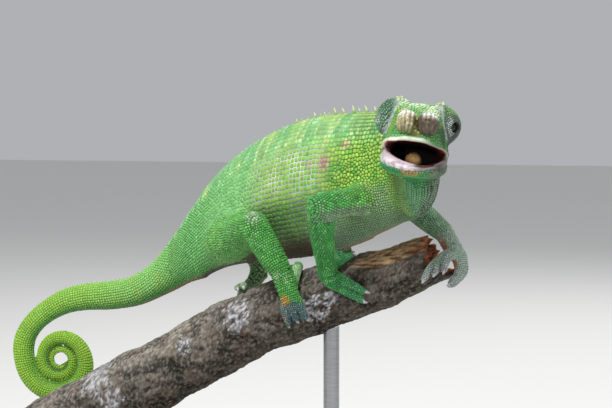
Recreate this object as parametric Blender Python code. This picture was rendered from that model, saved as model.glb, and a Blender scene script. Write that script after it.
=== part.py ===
"""A Fischer's chameleon with its mouth open on a cut length of branch, on a small display stand.

The animal faces +X with its head turned to its right, +Z is up, and the origin is the middle of the
base's underside. Every size below is in millimetres. Body, limbs and perch are lofted from a few key
stations each, then parted from their neighbours by a thin gap.
"""

import math

import bmesh
import bpy
from mathutils import Matrix, Vector

MM = 0.001
GAP = 0.3

# Stand: an oblong base and two rods up to the underside of the perch
BASE_SIZE = (160.0, 84.0, 12.0)
BASE_CORNER = 14.0
BASE_EDGE = 1.5
ROD_RADIUS = 2.4
ROD_SIDES = 20
ROD_PLACES = (-44.0, 30.0)

# Perch stations: x, y, z of the middle of the branch, and its radius
PERCH = (
    (-76.0, -2.1, 26.2, 12.0),
    (-47.3, -1.3, 42.5, 11.5),
    (-28.2, -0.8, 52.7, 11.1),
    (-11.3, -0.4, 62.3, 10.9),
    (5.3, 0.1, 71.1, 10.7),
    (24.6, 0.4, 78.7, 10.3),
    (40.2, 0.7, 84.0, 9.6),
    (53.9, 1.0, 89.8, 8.8),
    (62.5, 1.2, 93.4, 8.3),
)
PERCH_SIDES = 20
PERCH_RINGS = 26
BARK_RELIEF = 0.45
KNOT_X, KNOT_TURN, KNOT_LENGTH, KNOT_SPREAD, KNOT_HEIGHT = -37.0, 0.7, 7.0, 0.5, 1.4
TORN_FROM = 44.0
TORN_EDGE = 1.5
TORN_DEPTH = 1.2

# Neck, trunk and tail stations: x, y, z, heading in degrees, half height, half width, keel, and how
# far the section leans from upright to square across the spine
TRUNK = (
    (65.0, -25.5, 121.0, -78.0, 7.6, 5.0, 1.0, 0.0),
    (63.7, -20.3, 121.4, -66.0, 11.4, 5.9, 1.05, 0.0),
    (60.8, -16.0, 121.0, -50.0, 14.4, 6.4, 1.1, 0.0),
    (56.5, -12.9, 119.7, -34.0, 16.4, 6.9, 1.15, 0.0),
    (49.5, -9.8, 118.0, -25.0, 18.1, 7.7, 1.2, 0.0),
    (37.8, -5.2, 115.6, -22.0, 20.2, 8.7, 1.25, 0.0),
    (24.0, 0.3, 113.1, -22.0, 21.2, 9.2, 1.25, 0.0),
    (9.0, 6.2, 109.6, -22.0, 20.0, 9.0, 1.25, 0.0),
    (-5.6, 12.0, 104.3, -22.0, 17.6, 8.2, 1.2, 0.0),
    (-17.0, 16.2, 97.4, -20.0, 14.3, 7.0, 1.1, 0.1),
    (-26.6, 19.5, 89.6, -15.0, 9.2, 5.7, 1.0, 0.3),
    (-36.0, 22.0, 82.2, -10.0, 6.1, 4.7, 1.0, 0.7),
    (-46.0, 23.5, 77.0, -5.0, 5.1, 4.3, 1.0, 1.0),
    (-56.0, 24.1, 75.0, 0.0, 4.9, 4.2, 1.0, 1.0),
    (-64.5, 23.8, 74.2, 3.0, 4.6, 4.0, 1.0, 1.0),
    (-71.4, 22.8, 72.7, 5.0, 4.3, 3.8, 1.0, 1.0),
    (-77.6, 21.9, 69.6, 5.0, 3.9, 3.6, 1.0, 1.0),
    (-82.6, 21.3, 65.6, 5.0, 3.7, 3.4, 1.0, 1.0),
    (-85.8, 21.0, 61.4, 5.0, 3.75, 3.4, 1.0, 1.0),
    (-87.1, 20.85, 57.0, 5.0, 3.8, 3.4, 1.0, 1.0),
)
# Tail coil: a spiral in an upright plane that tightens towards its round tip
COIL_CENTRE = (-73.95, 22.0, 52.7)
COIL_HEADING = 5.0
COIL_RADIUS = 12.95
COIL_SHRINK, COIL_TIGHTEN = 0.001815, 3.8e-7
COIL_START, COIL_END, COIL_STEP = 180.0, 1065.0, 15.0
COIL_THICKNESS, COIL_SWELL = 0.285, 0.00008
COIL_FLATNESS = 0.92
COIL_TIP = ((9.0, 0.85), (15.0, 0.5))
SECTION_SIDES = 20
# Where the long body is parted, as distances back from the throat end
NECK_END = 21.0
TRUNK_END = 112.0
TAIL_CUTS = (138.0, 163.0, 182.0, 200.0, 221.0, 246.0)
TAIL_SPACINGS = (3.4, 3.4, 2.8, 2.6, 2.2, 1.9, 1.6)
TAIL_SIDES = (14, 14, 14, 14, 14, 12, 10)

# Dorsal crest: a row of leaning spikes on the nape, lower and lower along the back
CREST_START = 16.0
CREST_SPACING = 2.25
CREST_HEIGHTS = (1.9, 1.5, 1.8, 1.2)
CREST_COUNT = 20
CREST_FADE = 34
CREST_LEAN = 0.45
CREST_ROOT = 0.6
CREST_RADIUS = 0.62
CREST_MARGIN = 0.9
SPIKE_TIP, SPIKE_FLATNESS = 0.3, 0.8
KNOB_SPACING = 5.6
KNOB_HEIGHT = 0.5
KNOB_RADIUS = 0.95
KNOB_LEAN = 0.3
KNOB_MARGIN = 1.2
KNOB_LAST = 168.0

# Head, in its own frame: origin between the eyes, x to the snout, y to its left, z up
HEAD_PLACE = (65.4, -27.6, 133.0)
HEAD_HEADING, HEAD_PITCH, HEAD_ROLL = -73.4, 9.0, -7.0
# x, ridge half width, ridge z, top z, cheek half width, cheek z, lip half width, lip z, palate z
CRANIUM = (
    (17.7, 1.8, -3.4, -3.1, 2.8, -5.4, 3.2, -8.1, -8.1),
    (16.5, 3.3, -1.7, -1.5, 4.8, -4.9, 5.4, -8.5, -8.3),
    (14.0, 4.3, 0.1, 0.1, 6.2, -4.2, 7.2, -8.4, -7.7),
    (10.0, 5.3, 2.4, 1.9, 7.2, -3.4, 8.3, -8.2, -7.2),
    (6.0, 6.4, 4.4, 3.7, 7.7, -2.8, 8.9, -8.0, -7.0),
    (2.0, 7.1, 5.5, 4.9, 8.1, -2.6, 9.3, -7.8, -6.9),
    (-3.0, 6.9, 5.9, 5.3, 8.4, -2.6, 9.6, -7.7, -6.9),
    (-8.0, 6.1, 6.1, 5.7, 8.6, -3.0, 9.6, -7.9, -7.4),
    (-12.0, 5.1, 6.4, 6.3, 8.2, -3.2, 8.8, -8.8, -8.4),
    (-16.0, 3.9, 6.9, 7.0, 6.9, -2.0, 7.2, -8.8, -8.7),
    (-20.0, 2.4, 7.3, 7.6, 4.6, 0.6, 4.6, -5.0, -5.0),
    (-22.5, 1.1, 6.7, 7.0, 2.0, 3.0, 2.0, 0.5, 0.5),
)
NOSTRIL, NOSTRIL_RADIUS = (14.4, 5.9, -4.2), 0.8
# x, half width, lip z, floor z, side z, underside z, in the shut position
MANDIBLE = (
    (16.7, 3.2, -8.7, -9.1, -9.9, -10.9),
    (15.3, 5.3, -8.3, -9.5, -10.1, -11.6),
    (12.0, 7.1, -8.3, -9.9, -10.3, -12.1),
    (7.0, 8.5, -8.2, -10.1, -10.6, -12.7),
    (2.0, 9.2, -8.2, -10.1, -10.9, -13.2),
    (-3.0, 9.5, -8.3, -10.1, -11.1, -13.6),
    (-8.0, 9.4, -8.2, -9.8, -11.3, -13.7),
    (-11.5, 8.7, -8.2, -9.2, -11.2, -13.2),
    (-14.0, 7.4, -8.6, -9.2, -11.3, -12.6),
)
JAW_HINGE = (-11.0, 0.0, -8.6)
JAW_OPEN = 14.0
TONGUE_START, TONGUE_END = (-5.0, 0.0, -8.9), (9.0, -0.3, -7.7)
TONGUE_RADII = (1.6, 1.9, 2.1, 2.2, 1.9)

TURRET_SIDE, TURRET_HEIGHT, TURRET_RADIUS = 6.2, -0.3, 5.8
LID_RISE, LID_SPREAD = 0.5, 0.55
EYEBALL_RADIUS, EYEBALL_DEPTH = 2.4, 2.3
GAZE_LEFT, GAZE_RIGHT = (0.72, 0.68, -0.12), (-0.15, -0.8, -0.58)

# Horn rings: x, y, z, half width, half height
HORN = (
    (11.5, 3.3, -3.5, 2.0, 2.8),
    (14.5, 3.1, -3.5, 2.3, 3.0),
    (17.2, 2.8, -3.3, 2.1, 2.7),
    (19.2, 2.5, -2.8, 1.5, 2.0),
    (20.6, 2.2, -2.2, 0.8, 1.1),
)
HORN_SIDES = 10

# Limb joints and radii at even steps between them
ARM_RIGHT = ((48.5, -11.5, 111.0), (36.0, -27.0, 109.0), (32.4, -11.6, 89.2))
ARM_LEFT = ((51.3, -4.6, 110.8), (52.3, 14.0, 106.4), (67.6, 0.6, 98.4))
LEG_RIGHT = ((-7.0, 7.0, 95.0), (9.2, -10.6, 101.6), (20.6, -12.4, 85.4))
LEG_LEFT = ((-8.0, 16.6, 97.0), (-2.6, 28.0, 95.0), (1.6, 12.6, 83.4))
UPPER_ARM_RADII = (5.4, 4.8, 4.2, 4.0)
FOREARM_RADII = (3.9, 3.9, 3.6, 3.1)
THIGH_RADII = (7.4, 6.4, 5.3, 4.7)
SHANK_RADII = (4.6, 4.4, 4.1, 3.5)
LIMB_SIDES = 12
# Share of the forearm or shank that lies above the hand or foot
WRIST_SHARE = 0.78
PALM_ARM_RADII, PALM_LEG_RADII = (3.0, 2.9), (3.2, 3.1)
TOE_SIDES = 6
CLAW_SIDES = 5
CLAW_RADII = (0.75, 0.6, 0.28)

# Gripping feet: where the palm ends, then two opposed bundles of toes. A bundle is a count of toes,
# its middle line, the step from toe to toe at root and tip, and the radii at root and tip. A place is
# x along the perch, angle round it from the near side, and lift above the bark.
HAND_RIGHT = (
    (34.6, 28, 2.9),
    (2, ((35.4, 22, 2.6), (39.2, 4, 2.2), (42.8, -21, 1.6)), ((0.8, 0.0, 1.3), (1.4, 0.0, 2.2)), (2.5, 1.5)),
    (3, ((35.8, 46, 2.6), (38.6, 58, 2.1), (41.2, 70, 1.5)), ((-0.7, 0.6, 0.5), (-1.3, 1.4, 0.6)), (1.9, 1.2)),
)
FOOT_RIGHT = (
    (22.6, 15, 2.9),
    (3, ((22.4, 6, 2.5), (22.0, -7, 2.0), (21.6, -22, 1.4)), ((1.6, 0.0, 0.5), (3.0, 0.0, 1.2)), (2.0, 1.3)),
    (2, ((23.0, 32, 2.6), (23.7, 52, 2.1), (23.6, 75, 1.5)), ((1.0, 0.0, 0.4), (1.9, 0.0, 0.7)), (2.1, 1.3)),
)
FOOT_LEFT = (
    (2.4, 131, 3.0),
    (3, ((3.0, 150, 2.4), (3.9, 173, 1.9), (4.9, 196, 1.4)), ((1.5, 0.0, 0.4), (2.5, 0.0, 0.9)), (2.0, 1.3)),
    (2, ((3.8, 116, 2.5), (5.2, 94, 2.0), (6.8, 70, 1.5)), ((1.0, 0.0, 0.4), (1.9, 0.0, 0.7)), (2.1, 1.3)),
)
# The left hand holds the broken end, so its places are plain x, y, z
HAND_LEFT = (
    (69.0, -2.4, 95.4),
    (3, ((68.0, -5.4, 94.6), (66.0, -9.0, 91.6), (64.6, -9.9, 87.8)), ((1.2, 0.3, 0.8), (2.1, 0.2, 1.0)), (1.8, 1.2)),
    (2, ((70.8, -2.6, 93.6), (71.9, -3.2, 88.8), (69.4, -4.4, 83.8)), ((0.2, 1.7, 0.0), (0.3, 2.2, 0.0)), (2.2, 1.3)),
)
ARM_PARTS, ARM_RADII = ("upper_arm", "forearm", "hand"), (UPPER_ARM_RADII, FOREARM_RADII)
LEG_PARTS, LEG_RADII = ("thigh", "shank", "foot"), (THIGH_RADII, SHANK_RADII)
# Side, names of the nodes, joints, bone radii, palm radii, grip, and whether the grip is in perch places
LIMBS = (
    ("right", ARM_PARTS, ARM_RIGHT, ARM_RADII, PALM_ARM_RADII, HAND_RIGHT, True),
    ("right", LEG_PARTS, LEG_RIGHT, LEG_RADII, PALM_LEG_RADII, FOOT_RIGHT, True),
    ("left", ARM_PARTS, ARM_LEFT, ARM_RADII, PALM_ARM_RADII, HAND_LEFT, False),
    ("left", LEG_PARTS, LEG_LEFT, LEG_RADII, PALM_LEG_RADII, FOOT_LEFT, True),
)


def clear_scene():
    for thing in list(bpy.data.objects):
        bpy.data.objects.remove(thing, do_unlink=True)


def material(name, colour, roughness):
    made = bpy.data.materials.new(name)
    made.use_nodes = True
    shader = made.node_tree.nodes["Principled BSDF"]
    shader.inputs["Base Color"].default_value = (*colour, 1.0)
    shader.inputs["Roughness"].default_value = roughness
    return made


def object_from(bm, name):
    """Moves a finished bmesh into a new object in the scene."""
    bmesh.ops.recalc_face_normals(bm, faces=bm.faces)
    bmesh.ops.triangulate(bm, faces=bm.faces)
    mesh = bpy.data.meshes.new(name)
    bm.to_mesh(mesh)
    bm.free()
    made = bpy.data.objects.new(name, mesh)
    bpy.context.scene.collection.objects.link(made)
    return made


def loft(name, rings):
    """A closed skin through rings of equally many points, capped at both ends."""
    bm = bmesh.new()
    loops = []
    for ring in rings:
        verts = [bm.verts.new(point * MM) for point in ring]
        loops.append([bm.edges.new((verts[i - 1], verts[i])) for i in range(len(verts))])
    for first, second in zip(loops, loops[1:]):
        bmesh.ops.bridge_loops(bm, edges=first + second)
    for end in (loops[0], loops[-1]):
        bmesh.ops.contextual_create(bm, geom=end)
    return object_from(bm, name)


def boolean(target, operation, operands, solver="EXACT"):
    """Joins or cuts target with the operands, applies the result and removes them."""
    group = bpy.data.collections.new("operands")
    bpy.context.scene.collection.children.link(group)
    for operand in operands:
        group.objects.link(operand)
    modifier = target.modifiers.new("boolean", "BOOLEAN")
    modifier.operation = operation
    modifier.operand_type = "COLLECTION"
    modifier.collection = group
    modifier.solver = solver
    bpy.context.view_layer.update()
    graph = bpy.context.evaluated_depsgraph_get()
    mesh = bpy.data.meshes.new_from_object(target.evaluated_get(graph))
    target.modifiers.clear()
    target.data = mesh
    for operand in list(operands):
        bpy.data.objects.remove(operand, do_unlink=True)
    bpy.data.collections.remove(group)
    return target


def grown(thing, by=GAP):
    """A copy of a solid, every point moved out along its normal, for cutting a clear seat."""
    mesh = thing.data.copy()
    bm = bmesh.new()
    bm.from_mesh(mesh)
    bmesh.ops.remove_doubles(bm, verts=bm.verts, dist=0.01 * MM)
    bm.normal_update()
    for vert in bm.verts:
        vert.co += vert.normal * by * MM * min(1.4, vert.calc_shell_factor())
    bm.to_mesh(mesh)
    bm.free()
    made = bpy.data.objects.new("cutter", mesh)
    bpy.context.scene.collection.objects.link(made)
    return made


def keep_largest(thing):
    """Keeps only the closed surface that holds most, and triangulates it."""
    bm = bmesh.new()
    bm.from_mesh(thing.data)
    bmesh.ops.remove_doubles(bm, verts=bm.verts, dist=0.004 * MM)
    unseen = set(bm.faces)
    shells = []
    while unseen:
        stack = [unseen.pop()]
        shell = list(stack)
        while stack:
            for edge in stack.pop().edges:
                for face in edge.link_faces:
                    if face in unseen:
                        unseen.remove(face)
                        stack.append(face)
                        shell.append(face)
        shells.append(shell)

    def volume(shell):
        total = 0.0
        for face in shell:
            a = face.verts[0].co
            for b, c in zip(face.verts[1:], face.verts[2:]):
                total += a.dot(b.co.cross(c.co))
        return total

    shells.sort(key=volume)
    dropped = [face for shell in shells[:-1] for face in shell]
    if dropped:
        bmesh.ops.delete(bm, geom=dropped, context="FACES")
    bmesh.ops.triangulate(bm, faces=bm.faces)
    bm.to_mesh(thing.data)
    bm.free()
    return thing


def finish(thing, skin, sharp=40.0):
    keep_largest(thing)
    thing.data.materials.clear()
    thing.data.materials.append(skin)
    thing.data.shade_smooth()
    thing.data.set_sharp_from_angle(angle=math.radians(sharp))
    return thing


def catmull(rows, place):
    """The row of values at a place between 0 and the last row, smoothly through every row."""
    index = min(int(place), len(rows) - 2)
    share = place - index
    before, start = rows[max(index - 1, 0)], rows[index]
    end, after = rows[index + 1], rows[min(index + 2, len(rows) - 1)]
    found = []
    for p0, p1, p2, p3 in zip(before, start, end, after):
        slope, bend = (p2 - p0) / 2, (p3 - p1) / 2
        found.append(
            (2 * share**3 - 3 * share**2 + 1) * p1
            + (share**3 - 2 * share**2 + share) * slope
            + (3 * share**2 - 2 * share**3) * p2
            + (share**3 - share**2) * bend
        )
    return found


def coil_row(angle, share=1.0):
    ahead = Matrix.Rotation(math.radians(COIL_HEADING), 3, "Z") @ Vector((1, 0, 0))
    past = angle - COIL_START
    radius = COIL_RADIUS * math.exp(-COIL_SHRINK * past - COIL_TIGHTEN * past**2)
    turn = math.radians(angle)
    middle = Vector(COIL_CENTRE) + radius * (math.cos(turn) * ahead + Vector((0, 0, math.sin(turn))))
    half = radius * (COIL_THICKNESS + COIL_SWELL * past) * share
    return (*middle, COIL_HEADING, half, half * COIL_FLATNESS, 1.0, 1.0)


def coil_rows():
    """Stations of the tail's coil, as rows of the same kind as TRUNK's."""
    count = round((COIL_END - COIL_START) / COIL_STEP)
    rows = [coil_row(COIL_START + COIL_STEP * index) for index in range(count + 1)]
    return rows + [coil_row(COIL_END + past, share) for past, share in COIL_TIP]


def body_stations():
    """Dense stations from the throat to the tail tip, each with its distance back along the spine."""
    rows = list(TRUNK) + coil_rows()
    found, travelled, last = [], 0.0, None
    steps = 6
    for index in range((len(rows) - 1) * steps + 1):
        row = catmull(rows, index / steps)
        middle = Vector(row[:3])
        if last is not None:
            travelled += (middle - last).length
        last = middle
        found.append((travelled, *row))
    return found


STATIONS = body_stations()
BODY_LENGTH = STATIONS[-1][0]


def station_at(distance):
    """The station's row at a distance back from the throat end, and the spine's direction there."""
    distance = min(max(distance, 0.0), BODY_LENGTH)
    high = 1
    while STATIONS[high][0] < distance and high < len(STATIONS) - 1:
        high += 1
    low = high - 1
    span = STATIONS[high][0] - STATIONS[low][0]
    share = (distance - STATIONS[low][0]) / span
    row = [a + (b - a) * share for a, b in zip(STATIONS[low], STATIONS[high])]
    around = STATIONS[max(low - 1, 0)], STATIONS[min(high + 1, len(STATIONS) - 1)]
    forward = (Vector(around[0][1:4]) - Vector(around[1][1:4])).normalized()
    return row, forward


def body_frame(distance):
    """The station's row there, with the directions to the body's left and to its back."""
    row, forward = station_at(distance)
    heading = math.radians(row[4])
    left = Vector((-math.sin(heading), math.cos(heading), 0))
    forward = (forward - left * forward.dot(left)).normalized()
    return row, left, Vector((0, 0, 1)).lerp(forward.cross(left), row[8]).normalized()


def body_ring(distance, sides=SECTION_SIDES, extra=0.0):
    """One cross-section: an upright oval, drawn to a ridge above and a keel below by its last value."""
    row, left, up = body_frame(distance)
    middle, half, width, keel = Vector(row[1:4]), row[5] + extra, row[6] + extra, row[7]
    ring = []
    for side in range(sides):
        turn = 2 * math.pi * side / sides
        across = math.copysign(abs(math.sin(turn)) ** keel, math.sin(turn))
        ring.append(middle + left * width * across + up * half * math.cos(turn))
    return ring


def body_length(name, start, end, spacing, sides=SECTION_SIDES, extra=0.0):
    count = max(2, round((end - start) / spacing))
    places = [start + (end - start) * i / count for i in range(count + 1)]
    return loft(name, [body_ring(place, sides, extra) for place in places])


def body_cutter():
    return body_length("cutter", 0.0, TRUNK_END, 4.0, 24, GAP)


def spike(place, height, radius, lean):
    """One crest scale: a tapered spike rooted in the ridge that leans towards the tail."""
    row, left, up = body_frame(place)
    forward = left.cross(up)
    foot = Vector(row[1:4]) + up * (row[5] - CREST_ROOT)
    rise = (up - forward * lean).normalized()
    rings = []
    for share, size in ((0.0, 1.0), (1.0, SPIKE_TIP)):
        middle = foot + rise * share * (height + CREST_ROOT)
        ring = []
        for side in range(4):
            turn = math.pi * side / 2
            outline = forward * math.cos(turn) + left * SPIKE_FLATNESS * math.sin(turn)
            ring.append(middle + radius * size * outline)
        rings.append(ring)
    return loft("spike", rings)


def crest_pieces(start, end):
    """The spikes and low knobs of the crest whose roots lie between two distances."""
    made = []
    for index in range(CREST_COUNT):
        place = CREST_START + index * CREST_SPACING
        height = CREST_HEIGHTS[index % len(CREST_HEIGHTS)] * (1 - index / CREST_FADE)
        if start + CREST_MARGIN < place < end - CREST_MARGIN:
            made.append(spike(place, height, CREST_RADIUS, CREST_LEAN))
    place = CREST_START + CREST_COUNT * CREST_SPACING
    while place < KNOB_LAST:
        if start + KNOB_MARGIN < place < end - KNOB_MARGIN:
            made.append(spike(place, KNOB_HEIGHT, KNOB_RADIUS, KNOB_LEAN))
        place += KNOB_SPACING
    return made


def perch_row(x):
    high = 1
    while PERCH[high][0] < x and high < len(PERCH) - 1:
        high += 1
    low = high - 1
    share = (x - PERCH[low][0]) / (PERCH[high][0] - PERCH[low][0])
    return catmull(PERCH, low + share)


def perch_frame(x):
    """Middle, radius, direction to the near side and direction to the top of the perch at x."""
    row = perch_row(x)
    ahead = Vector(perch_row(x + 1.0)[:3]) - Vector(perch_row(x - 1.0)[:3])
    near = Vector((0, -1, 0))
    return Vector(row[:3]), row[3], near, near.cross(ahead.normalized()).normalized()


def perch_point(x, angle, lift):
    """A point lift above the bark, at an angle that runs from 0 on the near side to 90 on top."""
    middle, radius, near, top = perch_frame(x)
    turn = math.radians(angle)
    return middle + (radius + lift) * (near * math.cos(turn) + top * math.sin(turn))


def bark(x, turn):
    """Relief of the bark at a place along and around the branch."""
    ripple = math.sin(0.23 * x + 2 * turn) + 0.6 * math.sin(0.61 * x - 3 * turn + 1.0)
    knot = math.exp(-(((x - KNOT_X) / KNOT_LENGTH) ** 2) - ((turn - KNOT_TURN) / KNOT_SPREAD) ** 2)
    torn = 1 / (1 + math.exp(-(x - TORN_FROM) / TORN_EDGE))
    top = max(0.0, math.sin(turn - 0.25))
    return BARK_RELIEF * (ripple / 1.6 - 1) + KNOT_HEIGHT * knot - TORN_DEPTH * torn * min(1.0, 2.2 * top)


def make_perch():
    rings = []
    first, last = PERCH[0][0], PERCH[-1][0]
    for index in range(PERCH_RINGS + 1):
        x = first + (last - first) * index / PERCH_RINGS
        middle, radius, near, top = perch_frame(x)
        ring = []
        for side in range(PERCH_SIDES):
            turn = 2 * math.pi * side / PERCH_SIDES
            reach = radius + bark(x, turn)
            ring.append(middle + reach * (near * math.cos(turn) + top * math.sin(turn)))
        rings.append(ring)
    return loft("perch", rings)


def head_matrix():
    place = Matrix.Translation(Vector(HEAD_PLACE))
    turn = Matrix.Rotation(math.radians(HEAD_HEADING), 4, "Z")
    pitch = Matrix.Rotation(math.radians(-HEAD_PITCH), 4, "Y")
    roll = Matrix.Rotation(math.radians(HEAD_ROLL), 4, "X")
    return place @ turn @ pitch @ roll


def jaw_matrix():
    """The lower jaw's shut position turned open about its hinge, inside the head's frame."""
    hinge = Matrix.Translation(Vector(JAW_HINGE))
    drop = Matrix.Rotation(math.radians(JAW_OPEN), 4, "Y")
    return head_matrix() @ hinge @ drop @ hinge.inverted()


def mirrored(half):
    """A whole outline from its left half, which runs from the middle line to the middle line."""
    return half + [(-y, z) for y, z in reversed(half[1:-1])]


def cranium_half(row):
    ridge, ridge_z, top_z, cheek, cheek_z, lip, lip_z, palate_z = row[1:]
    return [
        (0.0, top_z),
        (0.5 * ridge, top_z + 0.1),
        (0.84 * ridge, ridge_z),
        (ridge, ridge_z - 0.7),
        ((ridge + cheek) / 2 + 0.2, (ridge_z + cheek_z) / 2),
        (cheek, cheek_z),
        (0.4 * cheek + 0.6 * lip - 0.1, lip_z + 2.1),
        (lip, lip_z + 1.2),
        (lip, lip_z + 0.5),
        (lip - 0.5, lip_z),
        (0.8 * lip - 0.4, 0.3 * lip_z + 0.7 * palate_z),
        (0.0, palate_z),
    ]


def mandible_half(row):
    width, lip_z, floor_z, side_z, under_z = row[1:]
    return [
        (0.0, floor_z),
        (0.7 * width - 0.3, floor_z + 0.1),
        (0.84 * width - 0.2, lip_z - 0.1),
        (width - 0.35, lip_z),
        (width, lip_z - 0.7),
        (width - 0.1, side_z),
        (0.8 * width, 0.6 * under_z + 0.4 * side_z),
        (0.45 * width, under_z),
        (0.0, under_z),
    ]


def head_loft(name, rows, half_of, matrix):
    rings = []
    for row in rows:
        outline = mirrored(half_of(row))
        rings.append([matrix @ Vector((row[0], y, z)) for y, z in outline])
    return loft(name, rings)


def ball(name, middle, radius, segments=20, rings=12):
    bm = bmesh.new()
    bmesh.ops.create_uvsphere(
        bm, u_segments=segments, v_segments=rings, radius=radius * MM,
        matrix=Matrix.Translation(middle * MM),
    )
    return object_from(bm, name)


def turret_ball(name, middle, gaze):
    """A ball in the head's frame, drawn out a little towards the gaze where the lids meet."""
    bm = bmesh.new()
    bmesh.ops.create_uvsphere(bm, u_segments=16, v_segments=10, radius=TURRET_RADIUS * MM)
    for vert in bm.verts:
        facing = max(0.0, (vert.co.normalized().dot(gaze) - LID_SPREAD) / (1 - LID_SPREAD))
        vert.co *= 1 + LID_RISE / TURRET_RADIUS * facing**1.5
    bmesh.ops.translate(bm, vec=middle * MM, verts=bm.verts)
    matrix = head_matrix()
    matrix.translation *= MM
    bmesh.ops.transform(bm, matrix=matrix, verts=bm.verts)
    return object_from(bm, name)


def horn(name, side):
    rings = []
    for x, y, z, half_width, half_height in HORN:
        ring = []
        for index in range(HORN_SIDES):
            turn = 2 * math.pi * index / HORN_SIDES
            outline = Vector((x, side * (y + half_width * math.cos(turn)), z + half_height * math.sin(turn)))
            ring.append(head_matrix() @ outline)
        rings.append(ring)
    return loft(name, rings)


def round_tube(name, points, radii, sides=LIMB_SIDES, steps=2, round_ends=(True, True)):
    """A tube along a smooth line through the points, with a radius at each, and domed ends."""
    rows = [(*point, radius) for point, radius in zip(points, radii)]
    count = (len(rows) - 1) * steps
    line = [catmull(rows, i / steps) for i in range(count + 1)]
    middles = [Vector(row[:3]) for row in line]
    sizes = [row[3] for row in line]
    first = (middles[0] - middles[1]).normalized()
    last = (middles[-1] - middles[-2]).normalized()
    body = list(zip(middles, sizes))
    for step in (0.45, 0.8):
        shrink = math.sqrt(1 - step**2)
        if round_ends[0]:
            body.insert(0, (middles[0] + first * sizes[0] * step, sizes[0] * shrink))
        if round_ends[1]:
            body.append((middles[-1] + last * sizes[-1] * step, sizes[-1] * shrink))
    across = first.orthogonal().normalized()
    rings = []
    for index, (middle, size) in enumerate(body):
        before, after = body[max(index - 1, 0)][0], body[min(index + 1, len(body) - 1)][0]
        along = (after - before).normalized()
        across = (across - along * across.dot(along)).normalized()
        other = along.cross(across)
        ring = []
        for side in range(sides):
            turn = 2 * math.pi * side / sides
            ring.append(middle + size * (across * math.cos(turn) + other * math.sin(turn)))
        rings.append(ring)
    return loft(name, rings)


def between(start, end, count):
    return [Vector(start).lerp(Vector(end), i / (count - 1)) for i in range(count)]


def limb_bone(name, start, end, radii):
    return round_tube(name, between(start, end, len(radii)), radii)


def toe(places, radius, tip_radius):
    radii = [radius + (tip_radius - radius) * i / (len(places) - 1) for i in range(len(places))]
    return round_tube("toe", places, radii, sides=TOE_SIDES, steps=2)


def claw(places, inward):
    """A short curved claw that carries the toe's line on and bends to the perch."""
    tip = places[-1]
    along = (places[-1] - places[-2]).normalized()
    line = [tip - along * 0.3, tip + along * 1.2 + inward * 0.1, tip + along * 2.1 + inward * 0.9]
    return round_tube("claw", line, CLAW_RADII, sides=CLAW_SIDES, steps=1, round_ends=(False, False))


def foot(name, ankle, palm, palm_radii, bundles):
    """Palm, toes in two opposed bundles and claws, as one solid."""
    pieces = [round_tube("palm", [ankle, palm], palm_radii)]
    for count, places, spread, radii in bundles:
        for index in range(count):
            shift = index - (count - 1) / 2
            line = []
            for number, place in enumerate(places):
                share = number / (len(places) - 1)
                step = [a + (b - a) * share for a, b in zip(*spread)]
                line.append(Vector([p + shift * s for p, s in zip(place, step)]))
            pieces.append(toe(line, *radii))
            middle = perch_frame(line[-1].x)[0]
            pieces.append(claw(line, (middle - line[-1]).normalized()))
    made = pieces.pop(0)
    made.name = name
    return boolean(made, "UNION", pieces)


def make_stand(perch, wood, metal):
    bm = bmesh.new()
    long, wide, high = BASE_SIZE
    bmesh.ops.create_cube(bm, size=1.0)
    bmesh.ops.scale(bm, vec=Vector(BASE_SIZE) * MM, verts=bm.verts)
    bmesh.ops.translate(bm, vec=(0, 0, high / 2 * MM), verts=bm.verts)
    upright = [e for e in bm.edges if abs(e.verts[0].co.z - e.verts[1].co.z) > high / 2 * MM]
    bmesh.ops.bevel(
        bm, geom=upright, offset=BASE_CORNER * MM, segments=6, profile=0.5, affect="EDGES", material=-1
    )
    top = [e for e in bm.edges if min(v.co.z for v in e.verts) > (high - 0.01) * MM]
    bmesh.ops.bevel(bm, geom=top, offset=BASE_EDGE * MM, segments=2, profile=0.5, affect="EDGES", material=-1)
    finish(object_from(bm, "stand_base"), wood)
    for number, x in enumerate(ROD_PLACES, 1):
        middle = perch_row(x)[:3]
        rings = []
        for height in (high + GAP, middle[2]):
            ring = []
            for side in range(ROD_SIDES):
                turn = 2 * math.pi * side / ROD_SIDES
                round_part = Vector((math.cos(turn), math.sin(turn), 0)) * ROD_RADIUS
                ring.append(Vector((x, middle[1], height)) + round_part)
            rings.append(ring)
        rod = loft(f"stand_rod_{number}", rings)
        finish(boolean(rod, "DIFFERENCE", [grown(perch)]), metal)


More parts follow.
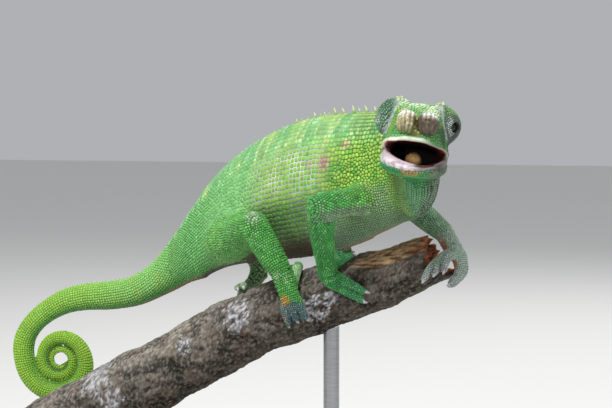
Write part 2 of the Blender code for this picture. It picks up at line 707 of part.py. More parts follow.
def make_head(skin, horn_skin, glass, flesh):
    cranium = head_loft("head", CRANIUM, cranium_half, head_matrix())
    jaw = head_loft("jaw", MANDIBLE, mandible_half, jaw_matrix())
    tongue_line = [jaw_matrix() @ point for point in between(TONGUE_START, TONGUE_END, len(TONGUE_RADII))]
    tongue = round_tube("tongue", tongue_line, TONGUE_RADII, sides=12, steps=1)
    seats = []
    for name, side, gaze in (("left", 1, GAZE_LEFT), ("right", -1, GAZE_RIGHT)):
        middle = Vector((0.0, side * TURRET_SIDE, TURRET_HEIGHT))
        look = Vector(gaze).normalized()
        turret = turret_ball(f"eye_turret_{name}", middle, look)
        inner = middle + look * (TURRET_RADIUS + LID_RISE - EYEBALL_DEPTH)
        eyeball = ball(f"eyeball_{name}", head_matrix() @ inner, EYEBALL_RADIUS, 14, 8)
        seats.append(grown(turret))
        boolean(turret, "DIFFERENCE", [grown(eyeball)])
        finish(turret, skin)
        finish(eyeball, glass)
    for name, side in (("left", 1), ("right", -1)):
        finish(boolean(horn(f"horn_{name}", side), "DIFFERENCE", [grown(cranium)]), horn_skin)
    cutters = [grown(thing) for thing in (cranium, jaw, tongue, *seats)]
    x, y, z = NOSTRIL
    for side in (1, -1):
        seats.append(ball("nostril", head_matrix() @ Vector((x, side * y, z)), NOSTRIL_RADIUS, 10, 6))
    boolean(tongue, "DIFFERENCE", [grown(cranium), grown(jaw)])
    boolean(jaw, "DIFFERENCE", [grown(cranium)])
    boolean(cranium, "DIFFERENCE", seats)
    finish(cranium, skin)
    finish(jaw, skin)
    finish(tongue, flesh)
    return cutters


def make_body(head_cutters, skin):
    neck = body_length("neck", 0.0, NECK_END - GAP / 2, 2.6)
    boolean(neck, "UNION", crest_pieces(0.0, NECK_END))
    boolean(neck, "DIFFERENCE", head_cutters)
    trunk = body_length("torso", NECK_END + GAP / 2, TRUNK_END - GAP / 2, 4.0, 24)
    boolean(trunk, "UNION", crest_pieces(NECK_END, TRUNK_END))
    ends = (TRUNK_END, *TAIL_CUTS, BODY_LENGTH)
    tail = []
    for number, (start, end) in enumerate(zip(ends, ends[1:]), 1):
        last = BODY_LENGTH if number == len(ends) - 1 else end - GAP / 2
        spacing, sides = TAIL_SPACINGS[number - 1], TAIL_SIDES[number - 1]
        piece = body_length(f"tail_{number}", start + GAP / 2, last, spacing, sides)
        knobs = crest_pieces(start, end)
        if knobs:
            boolean(piece, "UNION", knobs)
        tail.append(piece)
    for piece in (neck, trunk, *tail):
        finish(piece, skin)


def in_world(place, along_perch):
    return perch_point(*place) if along_perch else Vector(place)


def make_limbs(perch, skin):
    for side, parts, joints, bone_radii, palm_radii, grip, along_perch in LIMBS:
        upper = limb_bone(f"{parts[0]}_{side}", joints[0], joints[1], bone_radii[0])
        wrist = Vector(joints[1]).lerp(Vector(joints[2]), WRIST_SHARE)
        lower = limb_bone(f"{parts[1]}_{side}", joints[1], wrist, bone_radii[1])
        palm = in_world(grip[0], along_perch)
        bundles = []
        for count, places, spread, radii in grip[1:]:
            bundles.append((count, [in_world(place, along_perch) for place in places], spread, radii))
        end = foot(f"{parts[2]}_{side}", wrist, palm, palm_radii, bundles)
        boolean(end, "DIFFERENCE", [grown(lower), grown(perch), body_cutter()])
        boolean(lower, "DIFFERENCE", [grown(upper), body_cutter(), grown(perch)])
        boolean(upper, "DIFFERENCE", [body_cutter()])
        for piece in (upper, lower, end):
            finish(piece, skin)


def main():
    clear_scene()
    skin = material("scaly_skin", (0.16, 0.42, 0.12), 0.55)
    horn_skin = material("horn_scales", (0.36, 0.27, 0.19), 0.5)
    glass = material("eye_gloss", (0.02, 0.02, 0.02), 0.08)
    flesh = material("tongue_flesh", (0.55, 0.4, 0.2), 0.35)
    bark_skin = material("bark", (0.2, 0.17, 0.14), 0.9)
    wood = material("stand_wood", (0.05, 0.035, 0.025), 0.4)
    metal = material("stand_metal", (0.5, 0.5, 0.52), 0.3)
    perch = finish(make_perch(), bark_skin)
    make_stand(perch, wood, metal)
    head_cutters = make_head(skin, horn_skin, glass, flesh)
    make_body(head_cutters, skin)
    make_limbs(perch, skin)


main()
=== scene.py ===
"""Looks of a Fischer's chameleon with its mouth open on a cut branch: skin, scales, eyes, horns, bark, stand.

Sizes are in millimetres until a mesh is made. The animal faces +X with its head turned to its right.
"""

from itertools import product
import math

import bmesh
import bpy
import numpy as np
from mathutils import Matrix, Vector, noise
from mathutils.bvhtree import BVHTree
from mathutils.kdtree import KDTree


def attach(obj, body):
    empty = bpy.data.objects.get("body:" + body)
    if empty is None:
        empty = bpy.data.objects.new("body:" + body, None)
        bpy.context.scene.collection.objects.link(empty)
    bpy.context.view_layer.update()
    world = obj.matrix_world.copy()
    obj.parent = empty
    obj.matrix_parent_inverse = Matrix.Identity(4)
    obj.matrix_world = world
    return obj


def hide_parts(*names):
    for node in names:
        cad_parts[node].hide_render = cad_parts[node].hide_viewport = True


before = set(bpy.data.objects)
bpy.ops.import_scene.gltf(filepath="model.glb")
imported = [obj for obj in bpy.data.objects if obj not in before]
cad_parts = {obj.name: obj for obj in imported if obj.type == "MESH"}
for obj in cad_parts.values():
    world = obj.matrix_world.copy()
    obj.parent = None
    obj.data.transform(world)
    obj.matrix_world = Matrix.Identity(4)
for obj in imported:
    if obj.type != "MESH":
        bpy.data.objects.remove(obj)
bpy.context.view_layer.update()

# Camera, floor and light
# The photograph is taken with a long lens from the animal's right front, a little above its flank.
# The floor is a wide pale sheet, and three soft lamps and a pale room light it.
MM = 0.001
CAMERA_PLACE = (197.9, -483.3, 135.0)
CAMERA_AIM = (22.0, 0.0, 108.0)
LENS, SENSOR = 100.0, 36.0
FLOOR_SIZE = 8.0
FLOOR_COLOUR = "e8e7e4"
ROOM_COLOUR, ROOM_STRENGTH = "eef1f5", 0.5
# Direction from the animal, distance in metres, size in metres, power in watts
LAMPS = (
    ("key", (-0.10, -0.70, 1.00), 0.80, 0.28, 6.6),
    ("fill", (0.95, -0.70, 0.25), 1.00, 0.60, 1.2),
    ("back", (0.10, 0.95, 0.80), 0.90, 0.50, 2.6),
)


def linear(code):
    """A linear colour with full alpha from an sRGB hex code such as 8fc02a."""
    shares = [int(code[i:i + 2], 16) / 255 for i in (0, 2, 4)]
    return (*(s / 12.92 if s <= 0.04045 else ((s + 0.055) / 1.055) ** 2.4 for s in shares), 1.0)


def node(tree, kind, inputs=(), **settings):
    """Adds a shader node. Each input is a name or number with a value, or with a socket to link."""
    made = tree.nodes.new("ShaderNode" + kind)
    for name, value in settings.items():
        setattr(made, name, value)
    for name, value in dict(inputs).items():
        if isinstance(value, bpy.types.NodeSocket):
            tree.links.new(value, made.inputs[name])
        else:
            made.inputs[name].default_value = value
    return made


def new_material(name):
    """An empty node material with its output, and the tree to build it in."""
    made = bpy.data.materials.new(name)
    made.use_nodes = True
    made.node_tree.nodes.clear()
    return made, made.node_tree


def surface(tree, inputs):
    """The shader of a solid surface, linked to the material's output."""
    shader = node(tree, "BsdfPrincipled", inputs)
    output = node(tree, "OutputMaterial")
    tree.links.new(shader.outputs[0], output.inputs["Surface"])


def specks(tree, width, detail, stretch=(1.0, 1.0, 1.0)):
    """Noise of that width in millimetres all through an object, as a socket from 0 to 1."""
    coords = node(tree, "TexCoord").outputs["Object"]
    stretched = node(tree, "Mapping", {"Vector": coords, "Scale": stretch}).outputs[0]
    made = node(tree, "TexNoise", {"Vector": stretched, "Scale": 1 / (width * MM), "Detail": detail})
    return made.outputs["Fac"]


def ranged(tree, value, **limits):
    """A value moved to other limits, as a socket. From_Min and its like name the limits."""
    limits = {name.replace("_", " "): limit for name, limit in limits.items()}
    return node(tree, "MapRange", {"Value": value, **limits}).outputs[0]


def blend(tree, share, first, second):
    """A colour between two, by a share from 0 to 1, as a socket."""
    return node(tree, "Mix", {0: share, 6: first, 7: second}, data_type="RGBA").outputs[2]


def dented(tree, height, strength, depth):
    """Small dents in the light on a surface, of a depth in millimetres, as a socket."""
    return node(tree, "Bump", {"Height": height, "Strength": strength, "Distance": depth * MM}).outputs[0]


def shown_mesh(mesh, material):
    """A shown object for a mesh, smooth, with its material."""
    mesh.shade_smooth()
    mesh.materials.append(material)
    made = bpy.data.objects.new(mesh.name, mesh)
    bpy.context.scene.collection.objects.link(made)
    return made


def shown(name, bm, material):
    """Moves a finished bmesh, in millimetres, into a new shown object with its material."""
    bmesh.ops.scale(bm, vec=(MM, MM, MM), verts=bm.verts)
    mesh = bpy.data.meshes.new(name)
    bm.to_mesh(mesh)
    bm.free()
    return shown_mesh(mesh, material)


camera_data = bpy.data.cameras.new("camera")
camera_data.lens = LENS
camera_data.sensor_width = SENSOR
camera_data.clip_start, camera_data.clip_end = 0.01, 30.0
camera = bpy.data.objects.new("camera", camera_data)
camera.location = Vector(CAMERA_PLACE) * MM
camera.rotation_euler = (Vector(CAMERA_AIM) - Vector(CAMERA_PLACE)).to_track_quat("-Z", "Y").to_euler()
bpy.context.scene.collection.objects.link(camera)
bpy.context.scene.camera = camera
bpy.context.scene.view_settings.view_transform = "Standard"

for lamp_name, direction, distance, size, power in LAMPS:
    lamp_data = bpy.data.lights.new(lamp_name, "AREA")
    lamp_data.shape = "DISK"
    lamp_data.size = size
    lamp_data.energy = power
    lamp = bpy.data.objects.new(lamp_name, lamp_data)
    away = Vector(direction).normalized()
    lamp.location = Vector(CAMERA_AIM) * MM + away * distance
    lamp.rotation_euler = (-away).to_track_quat("-Z", "Y").to_euler()
    bpy.context.scene.collection.objects.link(lamp)

room = bpy.data.worlds.new("room")
room.use_nodes = True
room.node_tree.nodes["Background"].inputs["Color"].default_value = linear(ROOM_COLOUR)
room.node_tree.nodes["Background"].inputs["Strength"].default_value = ROOM_STRENGTH
bpy.context.scene.world = room

# Matt studio paper
paper, tree = new_material("studio_paper")
surface(tree, {"Base Color": linear(FLOOR_COLOUR), "Roughness": 0.9})
bm = bmesh.new()
bmesh.ops.create_grid(bm, x_segments=4, y_segments=4, size=FLOOR_SIZE / 2 / MM)
floor = shown("floor", bm, paper)

# Stand
# A display base of dark stained beech with rounded corners under satin lacquer, and two brushed steel
# rods let into it that carry the branch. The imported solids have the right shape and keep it.
GRAIN_WIDTH, GRAIN_LENGTH, PORE_WIDTH = 1.6, 26.0, 0.4
WOOD_DARK, WOOD_LIGHT, PORE_COLOUR = "2a1a12", "54361f", "170e0a"
BRUSH_PITCH = 0.25
STEEL_DARK, STEEL_LIGHT = "7e8082", "b4b6b8"

# Lacquered wood: grain runs the length of the board and shows as fine dark streaks under a soft gloss
stained_wood, tree = new_material("stained_beech")
stretch = (GRAIN_WIDTH / GRAIN_LENGTH, 1.0, 1.0)
streak = ranged(tree, specks(tree, GRAIN_WIDTH, 6.0, stretch), From_Min=0.35, From_Max=0.68)
pores = specks(tree, PORE_WIDTH, 2.0, stretch)
stain = blend(tree, streak, linear(WOOD_DARK), linear(WOOD_LIGHT))
stain = blend(tree, ranged(tree, pores, From_Min=0.58, From_Max=0.7), stain, linear(PORE_COLOUR))
surface(tree, {
    "Base Color": stain, "Roughness": 0.38, "Coat Weight": 0.5, "Coat Roughness": 0.12,
    "Normal": dented(tree, pores, 0.12, 0.2),
})
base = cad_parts["stand_base"]
base.data.materials.clear()
base.data.materials.append(stained_wood)

# Brushed stainless steel: fine rings round each rod break the highlight into threads
brushed_steel, tree = new_material("brushed_stainless_steel")
brush = specks(tree, BRUSH_PITCH, 3.0, (0.05, 0.05, 1.0))
surface(tree, {
    "Base Color": blend(tree, brush, linear(STEEL_DARK), linear(STEEL_LIGHT)), "Metallic": 1.0,
    "Roughness": ranged(tree, brush, To_Min=0.24, To_Max=0.42),
})
for rod_name in ("stand_rod_1", "stand_rod_2"):
    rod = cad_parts[rod_name]
    rod.data.materials.clear()
    rod.data.materials.append(brushed_steel)

# Branch
# A cut length of dead hardwood branch with its bark on, grey and cracked, sawn flat at the lower end
# and torn along the top towards the broken upper end, where the tan fibres are bare.
BRANCH = (
    (-76.0, -2.1, 26.2, 12.0), (-47.3, -1.3, 42.5, 11.5), (-28.2, -0.8, 52.7, 11.1),
    (-11.3, -0.4, 62.3, 10.9), (5.3, 0.1, 71.1, 10.7), (24.6, 0.4, 78.7, 10.3),
    (40.2, 0.7, 84.0, 9.6), (53.9, 1.0, 89.8, 8.8), (62.5, 1.2, 93.4, 8.3),
)
BRANCH_SIDES, BRANCH_STEP = 132, 0.5
BARK_RELIEF, CRACK_DEPTH, GRIT_HEIGHT = 0.45, 0.65, 0.2
TORN_FROM, TORN_DEPTH, FIBRE_HEIGHT = 44.0, 1.2, 0.5
SPLINTER_REACH, YEAR_RING = 2.6, 1.3
# The longest splinter, on the underside: angle round the branch, half its width in radians, reach
LOW_SPLINTER = (5.0, 0.55, 5.0)
# Lichen patches: middle in millimetres, and reach
LICHEN = (
    ((3.0, -9.0, 74.5), 5.5), ((28.0, -9.5, 77.0), 5.0), ((33.0, -8.6, 80.0), 3.0),
    ((-14.0, -8.0, 64.0), 3.5), ((-44.0, -7.0, 52.0), 7.5), ((-38.0, -11.0, 46.5), 4.5),
    ((10.0, 9.0, 76.0), 6.0), ((-30.0, 9.5, 52.0), 6.0),
)


def smooth_rows(rows, steps):
    """Rows of values at even steps between the given ones, smoothly through every one of them."""
    rows = np.array(rows, float)
    place = np.arange((len(rows) - 1) * steps + 1) / steps
    index = np.minimum(place.astype(int), len(rows) - 2)
    share = (place - index)[:, None]
    before, start = rows[np.maximum(index - 1, 0)], rows[index]
    end, after = rows[index + 1], rows[np.minimum(index + 2, len(rows) - 1)]
    slope, bend = (end - before) / 2, (after - start) / 2
    return (
        (2 * share**3 - 3 * share**2 + 1) * start + (share**3 - 2 * share**2 + share) * slope
        + (3 * share**2 - 2 * share**3) * end + (share**3 - share**2) * bend
    )


def rolled(grid):
    """A closed bmesh from rings of points: a flat grid is rolled round, its seam merged, its ends filled."""
    rings, sides = grid.shape[:2]
    bm = bmesh.new()
    bmesh.ops.create_grid(bm, x_segments=rings - 1, y_segments=sides, size=0.5)
    for vert in bm.verts:
        ring = round((vert.co.x + 0.5) * (rings - 1))
        side = round((vert.co.y + 0.5) * sides) % sides
        vert.co = grid[ring, side]
    bmesh.ops.remove_doubles(bm, verts=bm.verts, dist=1e-5)
    bmesh.ops.edgeloop_fill(bm, edges=[edge for edge in bm.edges if edge.is_boundary])
    bmesh.ops.recalc_face_normals(bm, faces=bm.faces)
    return bm


def rough_at(points, period, seed, octaves=3):
    """Smooth random values of about -1 to 1 at each point, with waves of that length in millimetres."""
    shift = Vector((seed * 7.3, seed * 3.1, seed * 5.7))
    flat = np.reshape(points, (-1, 3))
    values = [noise.fractal(Vector(point) / period + shift, 1.0, 2.0, octaves) for point in flat]
    return np.reshape(values, np.shape(points)[:-1])


def rising(values, low, high):
    """0 below low, 1 above high and a smooth rise between them."""
    share = np.clip((values - low) / (high - low), 0.0, 1.0)
    return share * share * (3 - 2 * share)


def falling(values, low, high):
    """1 below low, 0 above high and a smooth fall between them."""
    return 1 - rising(values, low, high)


def between_rows(at, places, rows):
    """The values of rows at places between them, column by column."""
    return np.stack([np.interp(at, places, column) for column in rows.T], -1)


def unit(vector):
    return vector / np.linalg.norm(vector)


def unit_rows(vectors):
    return vectors / np.linalg.norm(vectors, axis=1)[:, None]


def round_turns(count):
    """Angles at even steps once round, in radians."""
    return np.arange(count) / count * 2 * math.pi


def tree_of(places):
    """A search tree that finds the row of the nearest place."""
    found = KDTree(len(places))
    for index, place in enumerate(places):
        found.insert(place, index)
    found.balance()
    return found


branch_rows = smooth_rows(BRANCH, 40)


def branch_at(x):
    """Rows of the branch's middle and radius at places along it."""
    return between_rows(x, branch_rows[:, 0], branch_rows)


branch_first, branch_last = BRANCH[0][0], BRANCH[-1][0]
ring_count = round((branch_last - branch_first) / BRANCH_STEP)
length_rings = [(x, 1.0) for x in np.linspace(branch_first, branch_last, ring_count)]
sawn_rings = [(branch_first, share) for share in (0.02, 0.2, 0.4, 0.6, 0.8, 0.93, 0.985)]
torn_rings = [
    (branch_last, share) for share in (0.96, 0.9, 0.82, 0.73, 0.64, 0.54, 0.44, 0.34, 0.24, 0.14, 0.05)
]
branch_rings = np.array(sawn_rings + length_rings + torn_rings)
sections = branch_at(branch_rings[:, 0])
middles, radii = sections[:, :3], sections[:, 3]
slopes = np.gradient(branch_rows[:, :3], axis=0)
ahead = unit_rows(between_rows(branch_rings[:, 0], branch_rows[:, 0], slopes))
near = np.array((0.0, -1.0, 0.0))
top = unit_rows(np.cross(near, ahead))
turn_grid = np.tile(round_turns(BRANCH_SIDES), (len(branch_rings), 1))
outward = near * np.cos(turn_grid)[..., None] + top[:, None, :] * np.sin(turn_grid)[..., None]
x_grid = np.tile(branch_rings[:, :1], (1, BRANCH_SIDES))
share_grid = np.tile(branch_rings[:, 1:], (1, BRANCH_SIDES))
bare = middles[:, None, :] + outward * radii[:, None, None]
ripple = np.sin(0.23 * x_grid + 2 * turn_grid) + 0.6 * np.sin(0.61 * x_grid - 3 * turn_grid + 1.0)
knot = np.exp(-(((x_grid + 37) / 7) ** 2) - ((turn_grid - 0.7) / 0.5) ** 2)
torn_mask = 1 / (1 + np.exp(-(x_grid - TORN_FROM - 3 * np.sin(5 * turn_grid)) / 0.8))
torn_mask = torn_mask * rising(np.sin(turn_grid - 0.25), 0.0, 0.16)
along = bare * np.array((0.45, 1.0, 1.0))
plates = rough_at(along, 4.2, 1)
cracks = falling(np.abs(rough_at(along * (0.5, 1.2, 1.2), 3.4, 2)), 0.0, 0.09)
cross_noise = np.abs(rough_at(bare * (1.6, 0.5, 0.5), 7.5, 3))
cross_cracks = falling(cross_noise, 0.0, 0.035) * rising(plates, -0.1, 0.3)
grit = rough_at(bare, 0.9, 4)
fibre_noise = rough_at(bare * (0.08, 1.0, 1.0), 0.75, 5, 2)
bark = BARK_RELIEF * (ripple / 1.6 - 1) + 1.4 * knot + 0.35 * plates
bark = bark - CRACK_DEPTH * np.maximum(cracks, 0.8 * cross_cracks) + GRIT_HEIGHT * grit
wood = -BARK_RELIEF - TORN_DEPTH + FIBRE_HEIGHT * fibre_noise
relief = bark * (1 - torn_mask) + wood * torn_mask
jag = rough_at(np.stack([
    2.2 * np.cos(turn_grid) * share_grid, 2.2 * np.sin(turn_grid) * share_grid, 0 * turn_grid
], -1), 0.42, 6, 2)
near_end = rising(x_grid, branch_last - 9.0, branch_last) * (share_grid > 0.03)
push = SPLINTER_REACH * (jag - 0.55) * near_end - 2.2 * (1 - share_grid) * near_end
underside = np.exp(-(((turn_grid - LOW_SPLINTER[0]) / LOW_SPLINTER[1]) ** 2)) * rising(share_grid, 0.4, 0.9)
push = push + LOW_SPLINTER[2] * underside * rising(x_grid, branch_last - 5.0, branch_last)
branch_grid = middles[:, None, :] + outward * ((radii[:, None] + relief) * share_grid)[..., None]
branch_grid = branch_grid + ahead[:, None, :] * push[..., None]
bm = rolled(branch_grid)


def speckled(tree, attribute, width, detail, spread, dents):
    """Looks of a painted surface whose specks are darker or lighter by a spread and dented, and the
    specks themselves."""
    painted = node(tree, "Attribute", attribute_name=attribute).outputs["Color"]
    found = specks(tree, width, detail)
    value = ranged(tree, found, To_Min=1 - spread, To_Max=1 + spread)
    toned = node(tree, "HueSaturation", {"Color": painted, "Value": value}).outputs[0]
    return {"Base Color": toned, "Normal": dented(tree, found, *dents)}, found


# Old bark: grey weathered cork with cracks painted dark, partly as painted shade, rust-red flecks and crusts
# of pale lichen
bark_material, tree = new_material("weathered_bark")
looks, _ = speckled(tree, "bark_tone", 0.8, 4.0, 0.28, (0.35, 0.25))
surface(tree, {**looks, "Roughness": 0.88, "Specular IOR Level": 0.25})
branch = shown("branch", bm, bark_material)


def tone(colour):
    """The three linear shares of an sRGB hex code, as an array. Colours that are one stay as they are."""
    return np.array(linear(colour)[:3]) if isinstance(colour, str) else colour


def mixed(first, second, share):
    """Colours between two colours, or sets of colours, by a share for each point."""
    share = np.asarray(share, float)[..., None]
    return tone(first) * (1 - share) + tone(second) * share


def layered(tones, *layers):
    """Colours with others laid over them in turn, each with its share for each point."""
    for colours, share in layers:
        tones = mixed(tones, colours, share)
    return tones


def spot(points, middle, reach):
    """1 at a place, falling smoothly to 0 at that reach from it."""
    return falling(np.linalg.norm(points - np.array(middle), axis=-1), 0.35 * reach, reach)


def paint(mesh, name, tones):
    """Stores a colour for each vertex in a named attribute of the mesh."""
    layer = mesh.color_attributes.new(name, "FLOAT_COLOR", "POINT")
    full = np.ones((len(tones), 4), np.float32)
    full[:, :3] = np.clip(tones, 0.0, 1.0)
    layer.data.foreach_set("color", full.ravel())


def places_of(mesh):
    """The mesh's vertices in millimetres, as an array."""
    found = np.empty(len(mesh.vertices) * 3, np.float32)
    mesh.vertices.foreach_get("co", found)
    return found.reshape(-1, 3).astype(float) / MM


points = places_of(branch.data)
finder = tree_of(branch_grid.reshape(-1, 3))
sources = np.array([finder.find(point)[1] for point in points])
bark_noise, grit_noise, fibre, torn, dark_cracks, jags, from_axis, from_x = (
    grid.ravel()[sources] for grid in (
        plates, grit, fibre_noise, torn_mask, np.maximum(cracks, cross_cracks), jag, share_grid, x_grid,
    )
)
bark_tones = mixed("332f28", "655e54", rising(bark_noise, -0.35, 0.35))
bark_tones = mixed(bark_tones, "938c80", 0.5 * rising(grit_noise, 0.05, 0.4))
flakes = rough_at(points, 0.9, 12, 2)
bark_tones = layered(
    bark_tones,
    ("a59e92", 0.35 * rising(flakes, 0.25, 0.35)),
    ("211d18", 0.35 * falling(flakes, -0.4, -0.3)),
)
bark_tones = bark_tones * (0.84 - 0.18 * rising(points[:, :1], -5.0, 30.0))
# The upper side is painted lighter, a painted highlight where the light falls from above, most at the lower
# end
_, _, middle_z, radius = branch_at(points[:, 0]).T
lit_top = rising((points[:, 2] - middle_z) / radius, 0.0, 0.9)
lit_top = lit_top * (1 - 0.6 * rising(points[:, 0], -25.0, 15.0))
bark_tones = mixed(bark_tones, 1.7 * bark_tones + 0.03, lit_top)
rust = rising(rough_at(points, 3.0, 8, 3), 0.3, 0.5)
bark_tones = mixed(bark_tones, "634438", 0.3 * rust)
crusts = rough_at(points, 1.6, 9, 3)
lichen = np.zeros(len(points))
for middle, reach in LICHEN:
    lichen = np.maximum(lichen, spot(points, middle, reach * 1.25))
lichen = rising(lichen, 0.0, 0.3) * rising(crusts + 0.5 * lichen, 0.22, 0.38)
crust_tones = mixed("77777b", "cfced3", rising(rough_at(points, 0.7, 10, 2), -0.3, 0.3))
bark_tones = mixed(bark_tones, crust_tones, 0.75 * lichen)
wood_tones = mixed("5d4130", "c3a07a", rising(fibre, -0.3, 0.3))
wood_tones = mixed(wood_tones, "7d4a34", 0.5 * rising(rough_at(points, 6.0, 10, 2), 0.05, 0.5))
end_tones = mixed("4f2418", "a8694a", rising(jags, -0.4, 0.5))
ring_waves = 0.5 + 0.5 * np.sin(from_axis * radii[0] * 2 * math.pi / YEAR_RING + grit_noise)
sawn_tones = mixed("a5825c", "7b5a3b", ring_waves)
bark_tones = layered(
    bark_tones,
    # The cracks are painted near black: darker bark in them, and painted shade deep in them
    ("1d1713", 0.85 * dark_cracks),
    (wood_tones, torn),
    (end_tones, rising((1 - from_axis) * (from_x > 0), 0.0, 0.1)),
    (sawn_tones, rising((1 - from_axis) * (from_x < 0), 0.0, 0.08)),
)
paint(branch.data, "bark_tone", bark_tones)
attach(branch, "root")
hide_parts("perch")

# Body, limbs and head under one skin
# The animal is one soft body: a tall narrow trunk that runs into neck and tail, four thin limbs and the
# head with its eye turrets, lips and lids. Each form is a run of rings or a ball; all are melted into
# one skin, smoothed, and folded where the animal's skin folds. It lies a scale's depth below the coat.
SKIN_VOXEL = 0.56
SKIN_SMOOTHING = 5
SHOULDER_REACH, SHOULDER_SMOOTHING = 2.5, {"arm": 34, "leg": 90}
COAT_DEPTH = 0.26
RING_STEP, BODY_SIDES = 1.0, 56
# Neck, trunk and tail stations: x, y, z, heading in degrees, half height, half width, keel, and how
# far the section leans from upright to square across the spine
TRUNK = (
    (65.0, -25.5, 120.2, -78.0, 8.6, 5.0, 0.8, 0.0), (63.7, -20.3, 120.3, -66.0, 12.6, 5.9, 0.7, 0.0),
    (60.8, -16.0, 120.3, -50.0, 15.1, 6.4, 0.8, 0.0), (56.5, -12.9, 119.6, -34.0, 16.5, 6.9, 1.05, 0.0),
    (49.5, -9.8, 118.0, -25.0, 18.1, 7.7, 1.2, 0.0), (37.8, -5.2, 115.6, -22.0, 20.2, 8.7, 1.25, 0.0),
    (24.0, 0.3, 113.1, -22.0, 21.2, 9.2, 1.25, 0.0), (9.0, 6.2, 109.6, -22.0, 20.0, 9.0, 1.25, 0.0),
    (-5.6, 12.0, 104.3, -22.0, 17.6, 8.2, 1.2, 0.0), (-17.0, 16.2, 97.4, -20.0, 14.3, 7.0, 1.1, 0.1),
    (-26.6, 19.5, 89.6, -15.0, 9.2, 5.7, 1.0, 0.3), (-36.0, 22.0, 82.2, -10.0, 6.1, 4.7, 1.0, 0.7),
    (-46.0, 23.5, 77.0, -5.0, 5.1, 4.3, 1.0, 1.0), (-56.0, 24.1, 75.0, 0.0, 4.9, 4.2, 1.0, 1.0),
    (-64.5, 23.8, 74.2, 3.0, 4.6, 4.0, 1.0, 1.0), (-71.4, 22.8, 72.7, 5.0, 4.3, 3.8, 1.0, 1.0),
    (-77.6, 21.9, 69.6, 5.0, 3.9, 3.6, 1.0, 1.0), (-82.6, 21.3, 65.6, 5.0, 3.7, 3.4, 1.0, 1.0),
    (-85.8, 21.0, 61.4, 5.0, 3.75, 3.4, 1.0, 1.0), (-87.1, 20.85, 57.0, 5.0, 3.8, 3.4, 1.0, 1.0),
)
# Tail coil: a spiral in an upright plane that tightens towards its round tip
COIL_CENTRE, COIL_HEADING = (-73.95, 22.0, 52.7), 5.0
COIL_RADIUS, COIL_SHRINK, COIL_TIGHTEN = 12.95, 0.001815, 3.8e-7
COIL_START, COIL_END, COIL_STEP = 180.0, 1065.0, 15.0
COIL_THICKNESS, COIL_SWELL, COIL_FLATNESS = 0.285, 0.00008, 0.92
COIL_TIP = ((9.0, 0.85), (15.0, 0.5))
NECK_END, TRUNK_END = 21.0, 112.0
# Head, in its own frame: origin between the eyes, x to the snout, y to its left, z up
HEAD_PLACE = (65.4, -27.6, 133.0)
HEAD_HEADING, HEAD_PITCH, HEAD_ROLL = -73.4, 9.0, -7.0
# x, ridge half width, ridge z, top z, cheek half width, cheek z, lip half width, lip z, palate z
CRANIUM = (
    (17.7, 1.8, -3.4, -3.1, 2.8, -5.4, 3.2, -8.1, -8.1), (16.5, 3.3, -1.7, -1.5, 4.8, -4.9, 5.4, -8.5, -8.3),
    (14.0, 4.3, 0.1, 0.1, 6.2, -4.2, 7.2, -8.4, -7.7), (10.0, 5.3, 2.4, 1.9, 7.2, -3.4, 8.3, -8.2, -7.2),
    (6.0, 6.4, 4.4, 3.7, 7.7, -2.8, 8.9, -8.0, -7.0), (2.0, 7.1, 5.5, 4.9, 8.1, -2.6, 9.3, -7.8, -6.9),
    (-3.0, 6.9, 5.9, 5.3, 8.4, -2.6, 9.6, -7.7, -6.9), (-8.0, 6.1, 6.1, 5.7, 8.6, -3.0, 9.6, -7.9, -7.4),
    (-12.0, 5.1, 6.4, 6.3, 8.2, -3.2, 8.8, -8.8, -8.4), (-16.0, 3.9, 6.9, 7.0, 6.9, -2.0, 7.2, -8.8, -8.7),
    (-20.0, 2.4, 7.3, 7.6, 4.6, 0.6, 4.6, -5.0, -5.0), (-22.5, 1.1, 6.7, 7.0, 2.0, 3.0, 2.0, 0.5, 0.5),
)
# x, half width, lip z, floor z, side z, underside z, in the shut position
MANDIBLE = (
    (16.7, 3.2, -8.7, -9.1, -9.9, -10.9), (15.3, 5.3, -8.3, -9.5, -10.1, -11.6),
    (12.0, 7.1, -8.3, -9.9, -10.3, -12.1), (7.0, 8.5, -8.2, -10.1, -10.6, -12.7),
    (2.0, 9.2, -8.2, -10.1, -10.9, -13.2), (-3.0, 9.5, -8.3, -10.1, -11.1, -13.6),
    (-8.0, 9.4, -8.2, -9.8, -11.3, -13.7), (-11.5, 8.7, -8.2, -9.2, -11.2, -13.2),
    (-14.0, 7.4, -8.6, -9.2, -11.3, -12.6),
)
JAW_HINGE, JAW_OPEN = (-11.0, 0.0, -8.6), 12.4
# Radii of the lips from the right corner of the mouth to the left one
LIP_RADII = {"lip_upper": (0.75, 0.7, 0.65, 0.5, 0.45), "lip_lower": (0.95, 0.9, 0.65, 0.45, 0.4)}
# The left side of the upper lip hangs lower, and so does the gum under it
LIP_DROOP, GUM_DROP = 0.9, 0.8
# Thick folds of gum inside the lower lip, rising to the corners of the mouth: x, y, z, radius
GUM = ((15.0, 0.6, -8.8, 1.2), (13.9, 3.4, -8.4, 1.3), (10.9, 5.7, -7.9, 1.4), (5.5, 7.2, -7.6, 1.5),
       (-1.0, 7.8, -7.5, 1.5), (-6.5, 8.1, -7.2, 1.5))
TURRET_SIDE, TURRET_RADIUS = 6.2, 5.8
TURRET_HEIGHTS = {"left": -0.3, "right": 0.5}
LID_RISE, LID_SPREAD = 0.5, 0.55
GAZE_LEFT, GAZE_RIGHT = (0.72, 0.68, -0.12), (-0.15, -0.8, -0.58)
OPENING_RADIUS, OPENING_DEPTH = 1.5, 1.5
NOSTRIL, NOSTRIL_RADIUS = (14.4, 5.9, -4.2), 0.8
